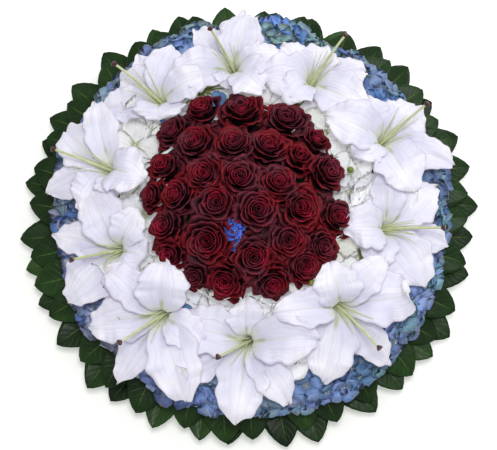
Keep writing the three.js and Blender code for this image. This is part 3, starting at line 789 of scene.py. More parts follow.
class LilySizes(bpy.types.PropertyGroup):
    rise: FloatProperty(name="Rise", description="Angle from upright at the throat", default=42.0)
    droop: FloatProperty(name="Droop", description="Angle from upright near the tip", default=122.0)
    curl: FloatProperty(name="Curl", description="Extra roll of the tips, in degrees", default=50.0)
    twist: FloatProperty(name="Twist", description="Largest turn of a tip, in degrees", default=16.0)
    inner_width: FloatProperty(name="Inner tepals", description="Width in millimetres", default=62.0)
    outer_width: FloatProperty(name="Outer tepals", description="Width in millimetres", default=46.0)
    ruffle: FloatProperty(name="Ruffle", description="Wave of the margins, in millimetres", default=5.0)
    thick: FloatProperty(name="Thickness", description="At the midrib, in millimetres", default=1.5)


class WREATH_OT_lilies(bpy.types.Operator):
    """Make the ring of white oriental lilies"""

    bl_idname = "wreath.lilies"
    bl_label = "Lilies"

    def execute(self, context):
        sizes = context.scene.wreath_lilies
        style = green_finish("lily_style", "bcc488", "d8dcb4", 0.45)
        stalk = green_finish("lily_stalk", "4f7434", "6d9148")
        materials = [lily_finish(), style, stigma_finish(), stalk]
        for number, lily in enumerate(LILIES):
            skin = Skin()
            for k in range(6):
                grid = tepal_grid(lily, number, k, sizes)
                u = np.abs(np.linspace(-1, 1, grid.shape[1]))[None, :]
                v = np.linspace(0, 1, grid.shape[0])[:, None]
                thick = sizes.thick * (1 - 0.75 * u**1.4) * (1 - 0.6 * v)
                skin.sheet(grid, np.maximum(thick, 0.22), tone=scatter(number * 6 + k, 12))
            self.middle(skin, lily, number)
            piece = skin.build(f"lily_flower_{number + 1:02d}", materials)
            dress(piece, "lily_petals", f"lily_{number + 1:02d}")
        return {"FINISHED"}

    def middle(self, skin, lily, number):
        basis, base = lily_basis(lily)
        style, filaments = lily_middle_paths(lily, number)
        skin.tube(style @ basis.T + base, np.linspace(2.1, 1.5, len(style)), sides=10, slot=1)
        end, ahead = style[-1], unit(style[-1] - style[-3])
        steps = np.array([-3.0, -1.6, 0.0, 1.4, 2.4, 2.8])
        knob = end + ahead * steps[:, None]
        radii = np.array([1.5, 2.4, 3.3, 3.4, 2.5, 1.0])
        skin.tube(knob @ basis.T + base, radii, sides=18, lobes=three_lobes, slot=2)
        for path in filaments:
            skin.tube(path @ basis.T + base, np.linspace(0.8, 0.4, len(path)), sides=6, slot=1)
        knee = base - basis[:, 2] * 12
        knee[2] = min(knee[2], base[2] - 8)
        inward = 1 - 4 / math.hypot(knee[0], knee[1])
        foot = np.array([knee[0] * inward, knee[1] * inward, STEM_CUT])
        stalk = bezier(foot, knee * 0.8 + foot * 0.2, base + basis[:, 2] * 3, 9)
        skin.tube(stalk, np.linspace(3.2, 5.2, 9), sides=9, slot=3)


# ---- Geometry Nodes that put a shape on every point ----
# What each point carries: which shape it bears, its turn and its size, with their types and fields.
POINT_FIELDS = (
    ("kind", "INT", "value"),
    ("turn", "FLOAT_VECTOR", "vector"),
    ("grown", "FLOAT", "value"),
)


class ShapeTree(Tree):
    """Puts one of several shapes on each point, turned and sized by the point's own attributes."""

    def __init__(self, name):
        super().__init__(bpy.data.node_groups.new(name, "GeometryNodeTree"))
        self.sockets = {}
        for label, kind, default in (
            ("Points", "Geometry", None),
            ("Shapes", "Collection", None),
            ("Finish", "Material", None),
            ("Size", "Float", 1.0),
            ("Size spread", "Float", 0.1),
            ("Wobble", "Float", 0.0),
            ("Seed", "Int", 1),
        ):
            kind = "NodeSocket" + kind
            socket = self.tree.interface.new_socket(label, in_out="INPUT", socket_type=kind)
            if default is not None:
                socket.default_value = default
            self.sockets[label] = socket.identifier
        self.tree.interface.new_socket("Geometry", in_out="OUTPUT", socket_type="NodeSocketGeometry")
        self.wire()

    def random(self, data_type, low, high, seed):
        settings = {"data_type": data_type}
        return self.add("FunctionNodeRandomValue", settings, Min=low, Max=high, Seed=seed)

    def wire(self):
        sockets = self.tree.nodes.new("NodeGroupInput").outputs
        given = {socket.name: Signal(self, socket) for socket in sockets}
        kind, turn, grown = (
            self.add("GeometryNodeInputNamedAttribute", {"data_type": data_type}, Name=label)
            for label, data_type, _ in POINT_FIELDS
        )
        shapes = {"Collection": given["Shapes"], "Separate_Children": True}
        shapes = self.add("GeometryNodeCollectionInfo", **shapes)
        seed, vary, wobble = given["Seed"], given["Size spread"], given["Wobble"]
        size = grown * given["Size"] * self.random("FLOAT", 1 - vary, 1 + vary, seed)
        placed = self.add(
            "GeometryNodeInstanceOnPoints",
            Points=given["Points"],
            Instance=shapes,
            Pick_Instance=True,
            Instance_Index=kind,
            Rotation=turn,
            Scale=size,
        )
        wobble = self.random("FLOAT_VECTOR", wobble * -1.0, wobble, seed)
        placed = self.add("GeometryNodeRotateInstances", Instances=placed, Rotation=wobble)
        plain = self.add("GeometryNodeRealizeInstances", Geometry=placed)
        done = self.add("GeometryNodeSetMaterial", Geometry=plain, Material=given["Finish"])
        self.tree.links.new(done.socket, self.tree.nodes.new("NodeGroupOutput").inputs["Geometry"])

    def grow(self, name, places, fields, shapes, finish, tints=(), **values):
        """Runs the tree over points in millimetres and keeps the result as one plain mesh object."""
        mesh = bpy.data.meshes.new(name)
        mesh.from_pydata((np.array(places) * MM).tolist(), [], [])
        for (label, kind, field), column in zip(POINT_FIELDS, fields):
            column = np.array(column, dtype=np.int32 if kind == "INT" else np.float32)
            mesh.attributes.new(label, kind, "POINT").data.foreach_set(field, column.ravel())
        if len(tints):
            data = mesh.attributes.new("tint", "FLOAT_COLOR", "POINT").data
            data.foreach_set("color", np.array(tints, dtype=np.float32).ravel())
        piece = placed_object(name, mesh)
        modifier = piece.modifiers.new("Shapes", "NODES")
        modifier.node_group = self.tree
        for label, value in {"Shapes": shapes, "Finish": finish, "Size": 1.0, **values}.items():
            modifier[self.sockets[label.replace("_", " ")]] = value
        depsgraph = bpy.context.evaluated_depsgraph_get()
        keep = {"preserve_all_data_layers": True, "depsgraph": depsgraph}
        plain = bpy.data.meshes.new_from_object(piece.evaluated_get(depsgraph), **keep)
        piece.modifiers.clear()
        piece.data = plain
        plain.name = name
        plain.materials.clear()
        plain.materials.append(finish)
        for label, _, _ in POINT_FIELDS:
            found = plain.attributes.get(label)
            if found:
                plain.attributes.remove(found)
        plain.polygons.foreach_set("material_index", np.zeros(len(plain.polygons), dtype=np.int32))
        plain.polygons.foreach_set("use_smooth", np.ones(len(plain.polygons), dtype=bool))
        plain.update()
        return piece


def shape_shelf(name, skins, material):
    """A hidden collection of the shapes that a tree picks from."""
    shelf = bpy.data.collections.new(name)
    for i, skin in enumerate(skins):
        shape = skin.build(f"{name}_{i:02d}", [material])
        bpy.context.scene.collection.objects.unlink(shape)
        shelf.objects.link(shape)
    return shelf


def clear_shelf(shelf):
    for shape in list(shelf.objects):
        bpy.data.objects.remove(shape)
    bpy.data.collections.remove(shelf)


def turn_to(normal, spin):
    """Euler turn that takes +Z to a direction, after a spin about it."""
    upright = Vector((0, 0, 1)).rotation_difference(Vector(normal.tolist()))
    return (upright.to_matrix() @ Matrix.Rotation(spin, 3, "Z")).to_euler()[:]


# ---- Hydrangea ----
BLUE_TINTS = (
    ("6f97b4", "6fa0e0", "7f9cc8", "86aebb", "5f7fb8"),
    ("6f9bea", "5f8cc8", "8fb4b4", "7fa4bc", "85a5dc"),
    ("6d94b4", "8aa6bb", "6f86b8", "5a80c0", "93a6cc"),
    ("5a80c4", "a4aec8", "b4bcd0", "94a2c8", "8298c4"),
    ("86a6dc", "769cc8", "92b2cc", "9cb6e0", "7c94d0"),
    ("8cb0e0", "6f9cc8", "7cacc0", "90a8dc", "7890c4"),
)
SPRIG_TINTS = ("5478ee", "6c92f6", "3c62d0")
WHITE_TINTS = (("fafafd", "fefeff", "f6f6fb", "f8f5fb", "f5f7ef", "fcfbfa"),)
# Green buds clear of the florets, and small blue florets that show among the white ones.
BUDS = ((74, -100, 112), (31, -108, 109), (-8, -133, 103), (122, 38, 110))
STRAYS = ((-79, -130, 92), (-25, -154, 92), (19, 169, 92), (-100, 110, 88), (-38, 130, 102))
STRAY_SHARE, STRAY_TINT = 0.42, "4f7fb0"
BUD_OUTLINE = ((-5, 1.2), (-3, 3.4), (1, 4.4), (4, 3.0), (6, 1.0))  # height from its place, and radius
WHITE_SPANS = ((112, 34.5), (181, 33), (251, 36.5), (330, 39.5), (47, 32))  # middle and half width
MOST_SUNK = 36  # how far a blue floret may sink under a lily, and a white one by its share
SPRIG_FOOT, SPRIG_TOP = (-16, -44, 0), 138


def floret_petal(turn, length, width, cup, number, rows, columns):
    """Front and back of one broad petal, meeting at its edge, as points and faces."""
    v, u = square(rows, columns, 0.06)
    half = (0.12 + 0.88 * np.sin(2.3 * v) ** 0.8) * width / 2
    tip = 1 + (0.04 * np.exp(-((u / 0.3) ** 2)) - 0.26 * np.abs(u) ** 2.2) * v**4
    x, y = v * tip * length, u * half
    wave = spread(number, 3, 0.7)
    side = np.abs(u)
    z = cup * (v**1.6) * length * 0.5 - 0.9 * v * (1 - v) * length * 0.25 + side**1.6 * v * (1.4 + wave)
    frill = 0.6 * np.sin(u * 3 + number) + 0.9 * np.sin(u * 6 + number * 2.4) * side
    crimp = (rows > 3) * 1.2 * np.sin(v * 7 + u * 2 + number * 1.9) * v * side
    z = z + frill * v * (length / 18) + crimp
    cosine, sine = math.cos(turn), math.sin(turn)
    front = np.stack([x * cosine - y * sine, x * sine + y * cosine, z], -1)
    lower = front[1:-1, 1:-1] - np.array([0, 0, 0.55])
    quads = grid_quads(rows, columns)
    under = np.arange(rows * columns).reshape(rows, columns)
    under[1:-1, 1:-1] = rows * columns + np.arange(lower[..., 0].size).reshape(lower.shape[:2])
    uv = np.stack([u / 2 + 0.5, v], -1)
    points = np.concatenate([front.reshape(-1, 3), lower.reshape(-1, 3)])
    uv = np.concatenate([uv.reshape(-1, 2), uv[1:-1, 1:-1].reshape(-1, 2)])
    return points, np.concatenate([quads, under.ravel()[quads[:, ::-1]]]), uv


def floret_skin(number, width, cup, rows=3, columns=5):
    """Four broad petals round a bead, face up at the origin."""
    skin = Skin()
    for k in range(4):
        i = number * 4 + k
        turn = math.radians(90 * k + spread(i, 1, 9))
        length = width / 2 * (1 + spread(i, 2, 0.09))
        bowl = cup + spread(i, 5, 0.08)
        petal = floret_petal(turn, length, length * 1.22, bowl, k + number, rows, columns)
        skin.add(petal[0] + np.array([0, 0, 0.22 * (k % 2)]), *petal[1:])
    ring = round_about(1.3, np.arange(4) * math.pi / 2, np.full(4, 0.7))
    bead = np.concatenate([ring, [[0, 0, -0.6], [0, 0, 1.9]]])
    skin.add(bead, ring_faces(1, 4), np.tile([0.5, 0.0], (6, 1)))
    return skin


# How far out the blue heads stand at each azimuth: they swell where the lilies leave room for them.
BLUE_REACH = (
    (0, 241), (14, 241), (18, 226), (35, 226), (38, 236), (47, 238), (51, 226), (54, 240), (60, 240),
    (65, 228), (72, 243), (91, 243), (97, 228), (105, 243), (122, 243), (127, 226), (132, 234),
    (140, 232), (145, 222), (158, 224), (161, 240), (167, 228), (173, 228), (184, 228), (188, 220),
    (203, 224), (207, 234), (218, 236), (223, 222), (235, 226), (241, 238), (262, 240), (268, 232),
    (275, 243), (308, 246), (314, 241), (342, 238), (348, 234), (354, 240),
)


def blue_reach(azimuth):
    angles, reaches = zip(*BLUE_REACH)
    return np.interp(azimuth % 360, angles, reaches, period=360)


def white_reach(azimuth):
    return 190 + 4 * math.sin(math.radians(azimuth * 7))


def head_points(head, number, pitch, reach):
    """Places and outward directions of the florets over one pressed crescent of hydrangea."""
    middle_radius, height, across, deep, start, end = head
    rng = np.random.default_rng([7, number, middle_radius])
    length = math.radians(end - start) * middle_radius
    rows = max(6, round((across * 2 + deep * 2.4) / pitch))
    count = max(4, round(length / pitch))
    places, normals = [], []
    for j in range(rows):
        b = math.radians(lerp(-28, 208, j / (rows - 1)))
        for i in range(count):
            share = (i + 0.5 + 0.5 * (j % 2) - 0.25 + rng.uniform(-0.3, 0.3)) / count
            if not 0 < share < 1:
                continue
            bb = b + rng.uniform(-0.13, 0.13)
            azimuth = lerp(start, end, share)
            a = math.radians(azimuth)
            plump = 0.55 + 0.45 * math.sin(math.pi * lerp(0.08, 0.92, share)) ** 0.5
            wide = across * plump
            if math.cos(bb) > 0:
                wide = reach(azimuth) - middle_radius
            r = middle_radius + math.cos(bb) * wide
            z = height + math.sin(bb) * deep * plump + rng.uniform(-2.5, 2.5)
            out = np.array([math.cos(bb) * math.cos(a) / across, math.cos(bb) * math.sin(a) / across,
                            math.sin(bb) / deep])
            side = np.array([-math.sin(a), math.cos(a), 0]) * rng.uniform(-0.35, 0.35)
            places.append([r * math.cos(a), r * math.sin(a), z])
            normals.append(unit(unit(out) + side + np.array([0, 0, rng.uniform(0, 0.35)])))
    return np.array(places), np.array(normals), rng


def inside_roses(places, margin):
    """Which places stand in or close round a rose's head."""
    inside = np.zeros(len(places), dtype=bool)
    for foot, axis, crown, half_width in rose_seats():
        height = (places - foot).dot(axis)
        radius = np.linalg.norm(places - foot - height[:, None] * axis, axis=1)
        bottom = crown - ROSE_DEPTH - ROSE_DEPTH_SHARE * half_width
        share = np.clip((height - bottom) / (crown - bottom), 0, 1)
        near = radius < half_width * share**0.5 + margin
        inside |= (height > bottom) & (height < crown + margin) & near
    return inside


def room_for(places, others, distance, drop, flat=1.0):
    """Sinks each place, by no more than drop, until nothing is nearer than the distance.

    Says which fit. Something flat may have others nearer above it than beside it.
    """
    places = places.copy()
    fits = np.zeros(len(places), dtype=bool)
    for i, place in enumerate(places):
        for sunk in np.arange(0, drop + 1, 4.0):
            spot = place - [0, 0, sunk]
            if np.sum(((others - spot) * [1, 1, flat]) ** 2, axis=1).min() > distance**2:
                places[i], fits[i] = spot, True
                break
    return places, fits & ~inside_roses(places, distance * 0.6)


def lily_cloud(context):
    """Points all over the lilies' tepals, for what grows round them to keep clear of."""
    sizes = context.scene.wreath_lilies
    grids = [tepal_grid(lily, n, k, sizes)[::2, ::2] for n, lily in enumerate(LILIES) for k in range(6)]
    return np.concatenate([grid.reshape(-1, 3) for grid in grids])


def tint_patches(places, tints, rng, seed):
    """Neighbouring florets share a tint, with a little variation from one to the next."""
    colours = []
    for x, y, _ in places:
        wave = math.sin(x * 0.031 + seed) + math.sin(y * 0.037 + seed * 1.7)
        wave += math.sin((x + y) * 0.053 + seed * 0.6)
        index = int((wave / 6 + 0.5) * len(tints) * 1.7 + rng.uniform(0, 2.2)) % len(tints)
        shade = rng.uniform(0.82, 1.12)
        colours.append([min(1.0, c * shade) for c in rgba(tints[index])[:3]] + [1.0])
    return colours


def upturned(normals):
    return unit(normals * [0.5, 0.5, 1.0] + [0, 0, 0.6])


# A kind of head. Its section is the middle's radius and height, half its width and half its depth.
# Share and pitch are of the panel's sizes, around is how near a lily may come to a floret, as a share
# of its width, and flat is what a lily above it counts against one beside it.
KIND_FIELDS = "colour section spans stem_foot tints reach faces share pitch around flat buds strays"
Kind = namedtuple("Kind", KIND_FIELDS)
WHITE_HEADS = [(middle - half, middle + half) for middle, half in WHITE_SPANS]
BLUE_HEADS = [(60 * i + 1, 60 * i + 59) for i in range(6)]
WHITE = Kind(
    "white", (158, 88, 46, 19), WHITE_HEADS, 118, WHITE_TINTS, white_reach, upturned,
    share=1.5, pitch=1.1, around=0.48, flat=1.25, buds=BUDS, strays=STRAYS,
)
BLUE = Kind(
    "blue", (218, 58, 26, 17), BLUE_HEADS, 158, BLUE_TINTS, blue_reach, np.array,
    share=1.0, pitch=0.95, around=0.54, flat=1.0, buds=(), strays=(),
)


class HydrangeaSizes(bpy.types.PropertyGroup):
    floret: FloatProperty(name="Floret", description="Width across in millimetres", default=39.0)
    pitch: FloatProperty(name="Pitch", description="Between florets, in millimetres", default=18.0)
    size_spread: FloatProperty(
        name="Size spread", description="Share of the size", default=0.16, max=0.5
    )
    wobble: FloatProperty(
        name="Wobble", description="Largest extra turn of a floret", default=0.22, subtype="ANGLE"
    )


class WREATH_OT_hydrangea(bpy.types.Operator):
    """Make the white and blue heads of hydrangea and the small sprig between the roses"""

    bl_idname = "wreath.hydrangea"
    bl_label = "Hydrangea"

    def execute(self, context):
        self.sizes = context.scene.wreath_hydrangea
        self.tree = ShapeTree("florets_on_points")
        self.stalk = green_finish("hydrangea_stalk", "6f8c3c", "a3ac52")
        # the last number is the strength of each finish's painted glow
        white = floret_finish("white_hydrangea", "dde4b4", 0.13)
        blue = floret_finish("blue_hydrangea", "dfe9f4", 0.04)
        width, broad = self.sizes.floret, self.sizes.floret * WHITE.share
        florets = [floret_skin(i, width, 0.1 + 0.12 * i) for i in range(5)]
        ruffled = [floret_skin(i, broad, 0.05 + 0.1 * i, 5, 7) for i in range(5)]
        shelf = shape_shelf("floret", florets, blue)
        white_shelf = shape_shelf("white_floret", ruffled, white)
        cloud = lily_cloud(context)
        self.heads(WHITE, white_shelf, white, cloud)
        self.heads(BLUE, shelf, blue, cloud)
        self.sprig(shelf, blue)
        clear_shelf(shelf)
        clear_shelf(white_shelf)
        return {"FINISHED"}

    def heads(self, kind, shelf, finish, cloud):
        middle_radius, height, _, _ = kind.section
        for i, (start, end) in enumerate(kind.spans):
            pitch = kind.pitch * self.sizes.pitch
            places, normals, rng = head_points((*kind.section, start, end), i, pitch, kind.reach)
            normals = kind.faces(normals)
            near = self.sizes.floret * kind.share * kind.around
            places, free = room_for(places, cloud, near, MOST_SUNK * kind.share, kind.flat)
            places, normals = places[free], normals[free]
            strays = within(kind.strays, start, end)
            for place in strays:
                places, normals = np.vstack([places, place]), np.vstack([normals, [0, 0, 1]])
            name, tints = f"{kind.colour}_head_{i + 1:02d}", kind.tints[i % len(kind.tints)]
            look = (tints, i, shelf, finish)
            piece = self.florets(name, places, normals, rng, *look, strays=len(strays))
            out = heading(math.radians((start + end) / 2))
            foot = out * kind.stem_foot + [0, 0, STEM_CUT]
            knee = out * lerp(kind.stem_foot, middle_radius, 0.7) + [0, 0, 52]
            crown = out * middle_radius + [0, 0, height]
            stems = stalks([foot, knee, crown], [3.0, 3.2, 3.6], 9, crown, places[::2], 3, 1.3)
            for bud in within(kind.buds, start, end):
                heights, radii = zip(*BUD_OUTLINE)
                stems.tube([bud + [0, 0, z] for z in heights], radii, sides=9)
            join(piece, stems.build(name + "_stalks", [self.stalk]))
            dress(piece, f"{kind.colour}_hydrangea", f"{kind.colour}_hydrangea_{i + 1:02d}")

    def florets(self, name, places, normals, rng, tints, seed, shelf, finish, share=1.0, strays=0):
        turns = [turn_to(normal, rng.uniform(0, 6.28)) for normal in normals]
        grown = rng.uniform(0.85, 1.1, len(places)) * share
        kinds = rng.integers(0, len(shelf.objects), len(places))
        colours = tint_patches(places, tints, rng, seed)
        for k in range(len(places) - strays, len(places)):
            grown[k], colours[k] = STRAY_SHARE, rgba(STRAY_TINT)
        values = {"Size_spread": self.sizes.size_spread, "Wobble": self.sizes.wobble, "Seed": seed + 1}
        return self.tree.grow(name, places, (kinds, turns, grown), shelf, finish, colours, **values)

    def sprig(self, shelf, finish):
        rng = np.random.default_rng([11])
        foot = np.array(SPRIG_FOOT)
        places, normals = [], []
        for i in range(6):
            a, out = math.radians(80 + 190 * (i % 2)), 1 + 2.6 * i
            places.append(foot + [out * math.cos(a) * 0.8, out * math.sin(a), SPRIG_TOP - 1.6 * i])
            normals.append(unit(np.array([rng.uniform(-0.4, 0.4), rng.uniform(-0.3, 0.3), 1.0])))
        places, normals = np.array(places), np.array(normals)
        piece = self.florets("blue_sprig", places, normals, rng, SPRIG_TINTS, 3, shelf, finish, 0.6)
        stem = foot + np.array([[0, 0, STEM_CUT], [0, 0, 70], [0, 0, 108]])
        stems = stalks(stem, [2.0, 2.1, 2.4], 8, foot + [0, 0, 102], places, 0, 1.1)
        join(piece, stems.build("blue_sprig_stalks", [self.stalk]))
        dress(piece, "blue_hydrangea", "blue_hydrangea_sprig")


def stalks(stem, radii, sides, crown, places, sag, thick):
    """A stem, and from its crown a thin stalk to each floret."""
    skin = Skin()
    skin.tube(np.array(stem), radii, sides=sides)
    for place in places:
        middle = (crown + place) / 2 - [0, 0, sag]
        skin.tube(np.array([crown, middle, place]), [thick, 0.9, 0.7], sides=4)
    return skin


def within(spots, start, end):
    """The spots between two azimuths."""
    spots = [np.array(spot) for spot in spots]
    return [s for s in spots if (math.degrees(math.atan2(s[1], s[0])) - start) % 360 < end - start]


def join(piece, other):
    """Adds one object's mesh to another's, as its second material, and drops the first."""
    with bpy.context.temp_override(active_object=piece, selected_editable_objects=[piece, other]):
        bpy.ops.object.join()


# ---- Leaf collar ----
LEAVES = 68
LEAF_GROUPS = 6
LEAF_SHAPES = 5
COLLAR_RADIUS, COLLAR_HEIGHT = 184, 23.0  # where the leaves are bound to the wire
LOWER_FOOT, UPPER_FOOT = 22.8, 23.8  # heights of the leaves' feet


def leaf_half_width(most, s):
    return 1.6 + (most - 1.6) * np.sin(math.pi * s**0.95) ** 0.7 - 1.3 * s**6


def leaf_skin(number, length, start, end, half_width, teeth):
    """One camellia leaf along +X from its stalk's foot: folded, arched and finely toothed."""
    skin = Skin()
    rows, columns = 27, 9
    s = np.linspace(0, 1, rows)[:, None]
    bend = np.radians(lerp(start, end, s**0.8) + spread(number, 2, 4) * s)
    step = length / (rows - 1)
    x = np.concatenate([[0], np.cumsum(np.sin(bend[1:]) * step)])[:, None]
    z = np.concatenate([[0], np.cumsum(np.cos(bend[1:]) * step)])[:, None]
    blade = np.clip((s - 0.1) / 0.9, 0, 1)
    half = np.where(s < 0.1, 1.4, np.maximum(0.35, leaf_half_width(half_width, blade)))
    u = np.linspace(-1, 1, columns)[None, :]
    edge = np.abs(u)
    open_share = smooth_step(0.08, 0.22, s)
    tooth = np.where(np.arange(rows) % 2 == 1, 1, -1)[:, None] * (edge > 0.99)
    across = half * u * (1 + teeth * tooth * open_share) + spread(number, 3, 5) * np.sin(s * math.pi)
    fold = 0.13 * edge**1.2 * half
    phase = np.where(u > 0, 0.0, 2.0) + number
    wave = 1.1 * np.sin(s * (10 + 4 * scatter(number, 4)) + phase) * edge**2
    quilt = 0.35 * np.cos(s * 60 - edge * 7) * edge * (1 - edge) * 3
    lift = (fold + wave * open_share + quilt * open_share) - 0.5 * np.exp(-((u / 0.12) ** 2))
    grid = np.stack([x - np.cos(bend) * lift, across, z + np.sin(bend) * lift], -1)
    thick = 1.5 * (1 - 0.62 * edge**1.5) * np.where(s < 0.1, 1.5, 1 - 0.5 * s)
    skin.sheet(grid[:, ::-1], thick, tone=scatter(number, 9))
    return skin


class LeafSizes(bpy.types.PropertyGroup):
    upper: FloatProperty(name="Upper leaves", description="Length in millimetres", default=97.0)
    lower: FloatProperty(name="Lower leaves", description="Length in millimetres", default=103.0)
    half_width: FloatProperty(name="Half width", description="In millimetres", default=26.0)
    teeth: FloatProperty(name="Teeth", description="Depth as a share of the half width", default=0.012)
    size_spread: FloatProperty(
        name="Size spread", description="Share of the size", default=0.045, max=0.5
    )


class WREATH_OT_leaves(bpy.types.Operator):
    """Make the collar of camellia leaves bound to florist's wire"""

    bl_idname = "wreath.leaves"
    bl_label = "Camellia leaves"

    def execute(self, context):
        sizes = context.scene.wreath_leaves
        finish = leaf_finish()
        wire = green_finish("florist_wire", "26401f", "33522a", 0.45)
        tree = ShapeTree("leaves_on_points")
        skins = []
        for number in range(LEAF_SHAPES * 2):
            upper = number >= LEAF_SHAPES
            length = sizes.upper if upper else sizes.lower
            start, end = (55, 110) if upper else (84, 94)
            half = sizes.half_width + spread(number, 1, 1.2)
            skins.append(leaf_skin(number, length, start, end, half, sizes.teeth))
        shelf = shape_shelf("leaf", skins, finish)
        for group in range(LEAF_GROUPS):
            first, last = (round(g * LEAVES / LEAF_GROUPS) for g in (group, group + 1))
            places, turns, kinds = [], [], []
            for i in range(first, last):
                upper = i % 2 == 1
                a = (i + 0.5 + spread(i, 16, 0.1)) / LEAVES * 2 * math.pi
                roll = math.radians((-6 if upper else 6) + spread(i, 17, 2))
                turn = Matrix.Rotation(a, 3, "Z") @ Matrix.Rotation(roll, 3, "X")
                turn = turn @ Matrix.Rotation(math.radians(spread(i, 12, 9)), 3, "Z")
                foot = [0, 0, UPPER_FOOT if upper else LOWER_FOOT]
                places.append(COLLAR_RADIUS * heading(a) + foot)
                turns.append(turn.to_euler()[:])
                kinds.append(int(scatter(i, 21) * LEAF_SHAPES) + (LEAF_SHAPES if upper else 0))
            name = f"camellia_collar_{group + 1:02d}"
            fields = (kinds, turns, np.ones(len(places)))
            values = {"Size_spread": sizes.size_spread, "Seed": group + 3}
            piece = tree.grow(name, places, fields, shelf, finish, **values)
            wires = Skin()
            a = np.radians(np.linspace((first + 0.2) / LEAVES * 360, (last - 0.2) / LEAVES * 360, 20))
            wires.tube(round_about(COLLAR_RADIUS + 1, a, np.full(20, COLLAR_HEIGHT)), 1.3, sides=8)
            join(piece, wires.build(name + "_wire", [wire]))
            dress(piece, "leaves", f"camellia_leaves_{group + 1:02d}")
        clear_shelf(shelf)
        return {"FINISHED"}


# ---- Foam and tray ----
# Outlines of radius and height, from the axis and back to it.
FOAM_OUTLINE = ((0, 6), (178, 6), (178, 40), (160, 58), (0, 58))
TRAY_OUTLINE = (
    (0, 0), (26, 0), (26, 3), (150, 3), (150, 0), (156, 0), (156, 3), (185, 3),
    (188, 6), (188, 16), (185.6, 16), (185.6, 5.4), (0, 5.4),
)


def turned(skin, profile, sides=120):
    """A closed body of revolution from an outline of radius and height that ends on the axis."""
    profile = np.array(profile, float)
    inner = profile[1:-1]
    angle = np.arange(sides) / sides * 2 * math.pi
    z = np.broadcast_to(inner[:, 1:], (len(inner), sides))
    body = round_about(inner[:, :1], angle, z).reshape(-1, 3)
    points = np.concatenate([body, [[0, 0, profile[0, 1]], [0, 0, profile[-1, 1]]]])
    skin.add(points, ring_faces(len(inner), sides), np.zeros((len(points), 2)))


def rounded(profile, radius):
    """Replaces each inner corner of an outline by two points a little way along its sides."""
    result = [profile[0]]
    for before, here, after in zip(profile, profile[1:], profile[2:]):
        here = np.array(here, float)
        for other in (before, after):
            way = np.array(other, float) - here
            result.append(here + way * min(0.4, radius / max(np.linalg.norm(way), 1e-6)))
    return result + [profile[-1]]


class WREATH_OT_base(bpy.types.Operator):
    """Make the moulded tray and dress the floral foam"""

    bl_idname = "wreath.base"
    bl_label = "Foam and tray"

    def execute(self, context):
        foam = Skin()
        turned(foam, rounded(FOAM_OUTLINE, 2.5))
        dress(foam.build("foam_disc", [foam_finish()]), "foam", "floral_foam")
        tray = Skin()
        turned(tray, rounded(TRAY_OUTLINE, 0.5))
        dress(tray.build("posy_tray", [tray_finish()]), "tray", "tray")
        return {"FINISHED"}


# ---- Stage ----
FLOOR = 3.0  # half the floor's width, in metres
TARGET = Vector((0, -0.012, 0.036))  # what the camera and the lamps point at


class StageSizes(bpy.types.PropertyGroup):
    elevation: FloatProperty(
        name="Elevation", description="Of the camera", default=math.radians(76.5), subtype="ANGLE"
    )
    distance: FloatProperty(
        name="Camera distance", description="To the middle of the wreath", default=1.45, unit="LENGTH"
    )
    lens: FloatProperty(name="Lens", description="Focal length in millimetres", default=84.0)
    key: FloatProperty(name="Key light", description="Power in watts", default=9.1)
    world: FloatProperty(name="Sky", description="Strength of the pale surroundings", default=0.5)


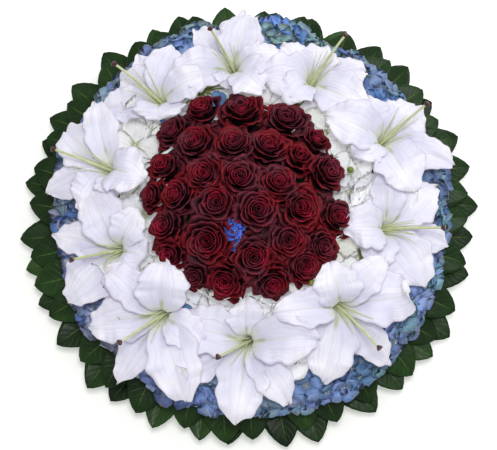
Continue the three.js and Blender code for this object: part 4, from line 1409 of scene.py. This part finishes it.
class WREATH_OT_stage(bpy.types.Operator):
    """Make the pale floor, the soft studio lights and the camera"""

    bl_idname = "wreath.stage"
    bl_label = "Stage"

    def execute(self, context):
        sizes = context.scene.wreath_stage
        scene = context.scene
        mesh = bpy.data.meshes.new("studio_floor")
        corners = [(FLOOR * x, FLOOR * y, 0) for x, y in ((-1, -1), (1, -1), (1, 1), (-1, 1))]
        mesh.from_pydata(corners, [], [(0, 1, 2, 3)])
        mesh.materials.append(floor_finish())
        placed_object("studio_floor", mesh)
        away = Vector((0, -math.cos(sizes.elevation), math.sin(sizes.elevation)))
        camera = bpy.data.cameras.new("camera")
        camera.lens, camera.sensor_width, camera.clip_end = sizes.lens, 36.0, 50.0
        scene.camera = self.aim("camera", camera, TARGET + away * sizes.distance)
        self.lamp("key_light", (0.05, -0.05, 1.6), 0.4, sizes.key)
        self.lamp("fill_light", (0.8, 0.9, 0.95), 0.7, sizes.key * 0.6)
        world = bpy.data.worlds.new("pale_surroundings")
        world.use_nodes = True
        background = world.node_tree.nodes["Background"]
        background.inputs["Color"].default_value = (1.0, 1.0, 1.0, 1)
        background.inputs["Strength"].default_value = sizes.world
        scene.world = world
        scene.view_settings.view_transform = "Standard"
        return {"FINISHED"}

    def lamp(self, name, place, size, power):
        light = bpy.data.lights.new(name, "AREA")
        light.shape, light.size, light.energy = "DISK", size, power
        self.aim(name, light, Vector(place))

    def aim(self, name, data, position):
        thing = placed_object(name, data)
        thing.location = position
        thing.rotation_euler = (TARGET - position).to_track_quat("-Z", "Y").to_euler()
        return thing


# ---- Panel, registration and run ----
OPERATORS = (
    WREATH_OT_stage,
    WREATH_OT_base,
    WREATH_OT_leaves,
    WREATH_OT_hydrangea,
    WREATH_OT_roses,
    WREATH_OT_lilies,
)
SIZES = {
    "wreath_stage": StageSizes,
    "wreath_leaves": LeafSizes,
    "wreath_hydrangea": HydrangeaSizes,
    "wreath_roses": RoseSizes,
    "wreath_lilies": LilySizes,
}


class WREATH_PT_panel(bpy.types.Panel):
    bl_idname = "WREATH_PT_panel"
    bl_label = "Funeral wreath"
    bl_space_type = "VIEW_3D"
    bl_region_type = "UI"
    bl_category = "Wreath"

    def draw(self, context):
        for operator in OPERATORS:
            self.layout.operator(operator.bl_idname)
        for label, group in SIZES.items():
            box = self.layout.box()
            for name in group.__annotations__:
                box.prop(getattr(context.scene, label), name)


def register():
    for group in SIZES.values():
        bpy.utils.register_class(group)
    for operator in (*OPERATORS, WREATH_PT_panel):
        bpy.utils.register_class(operator)
    for label, group in SIZES.items():
        setattr(bpy.types.Scene, label, PointerProperty(type=group))


def unregister():
    for label in SIZES:
        delattr(bpy.types.Scene, label)
    for kind in (WREATH_PT_panel, *OPERATORS, *SIZES.values()):
        bpy.utils.unregister_class(kind)


def main():
    register()
    bpy.ops.wreath.stage()
    bpy.ops.wreath.base()
    bpy.ops.wreath.leaves()
    bpy.ops.wreath.hydrangea()
    bpy.ops.wreath.roses()
    bpy.ops.wreath.lilies()


if __name__ == "__main__":
    main()
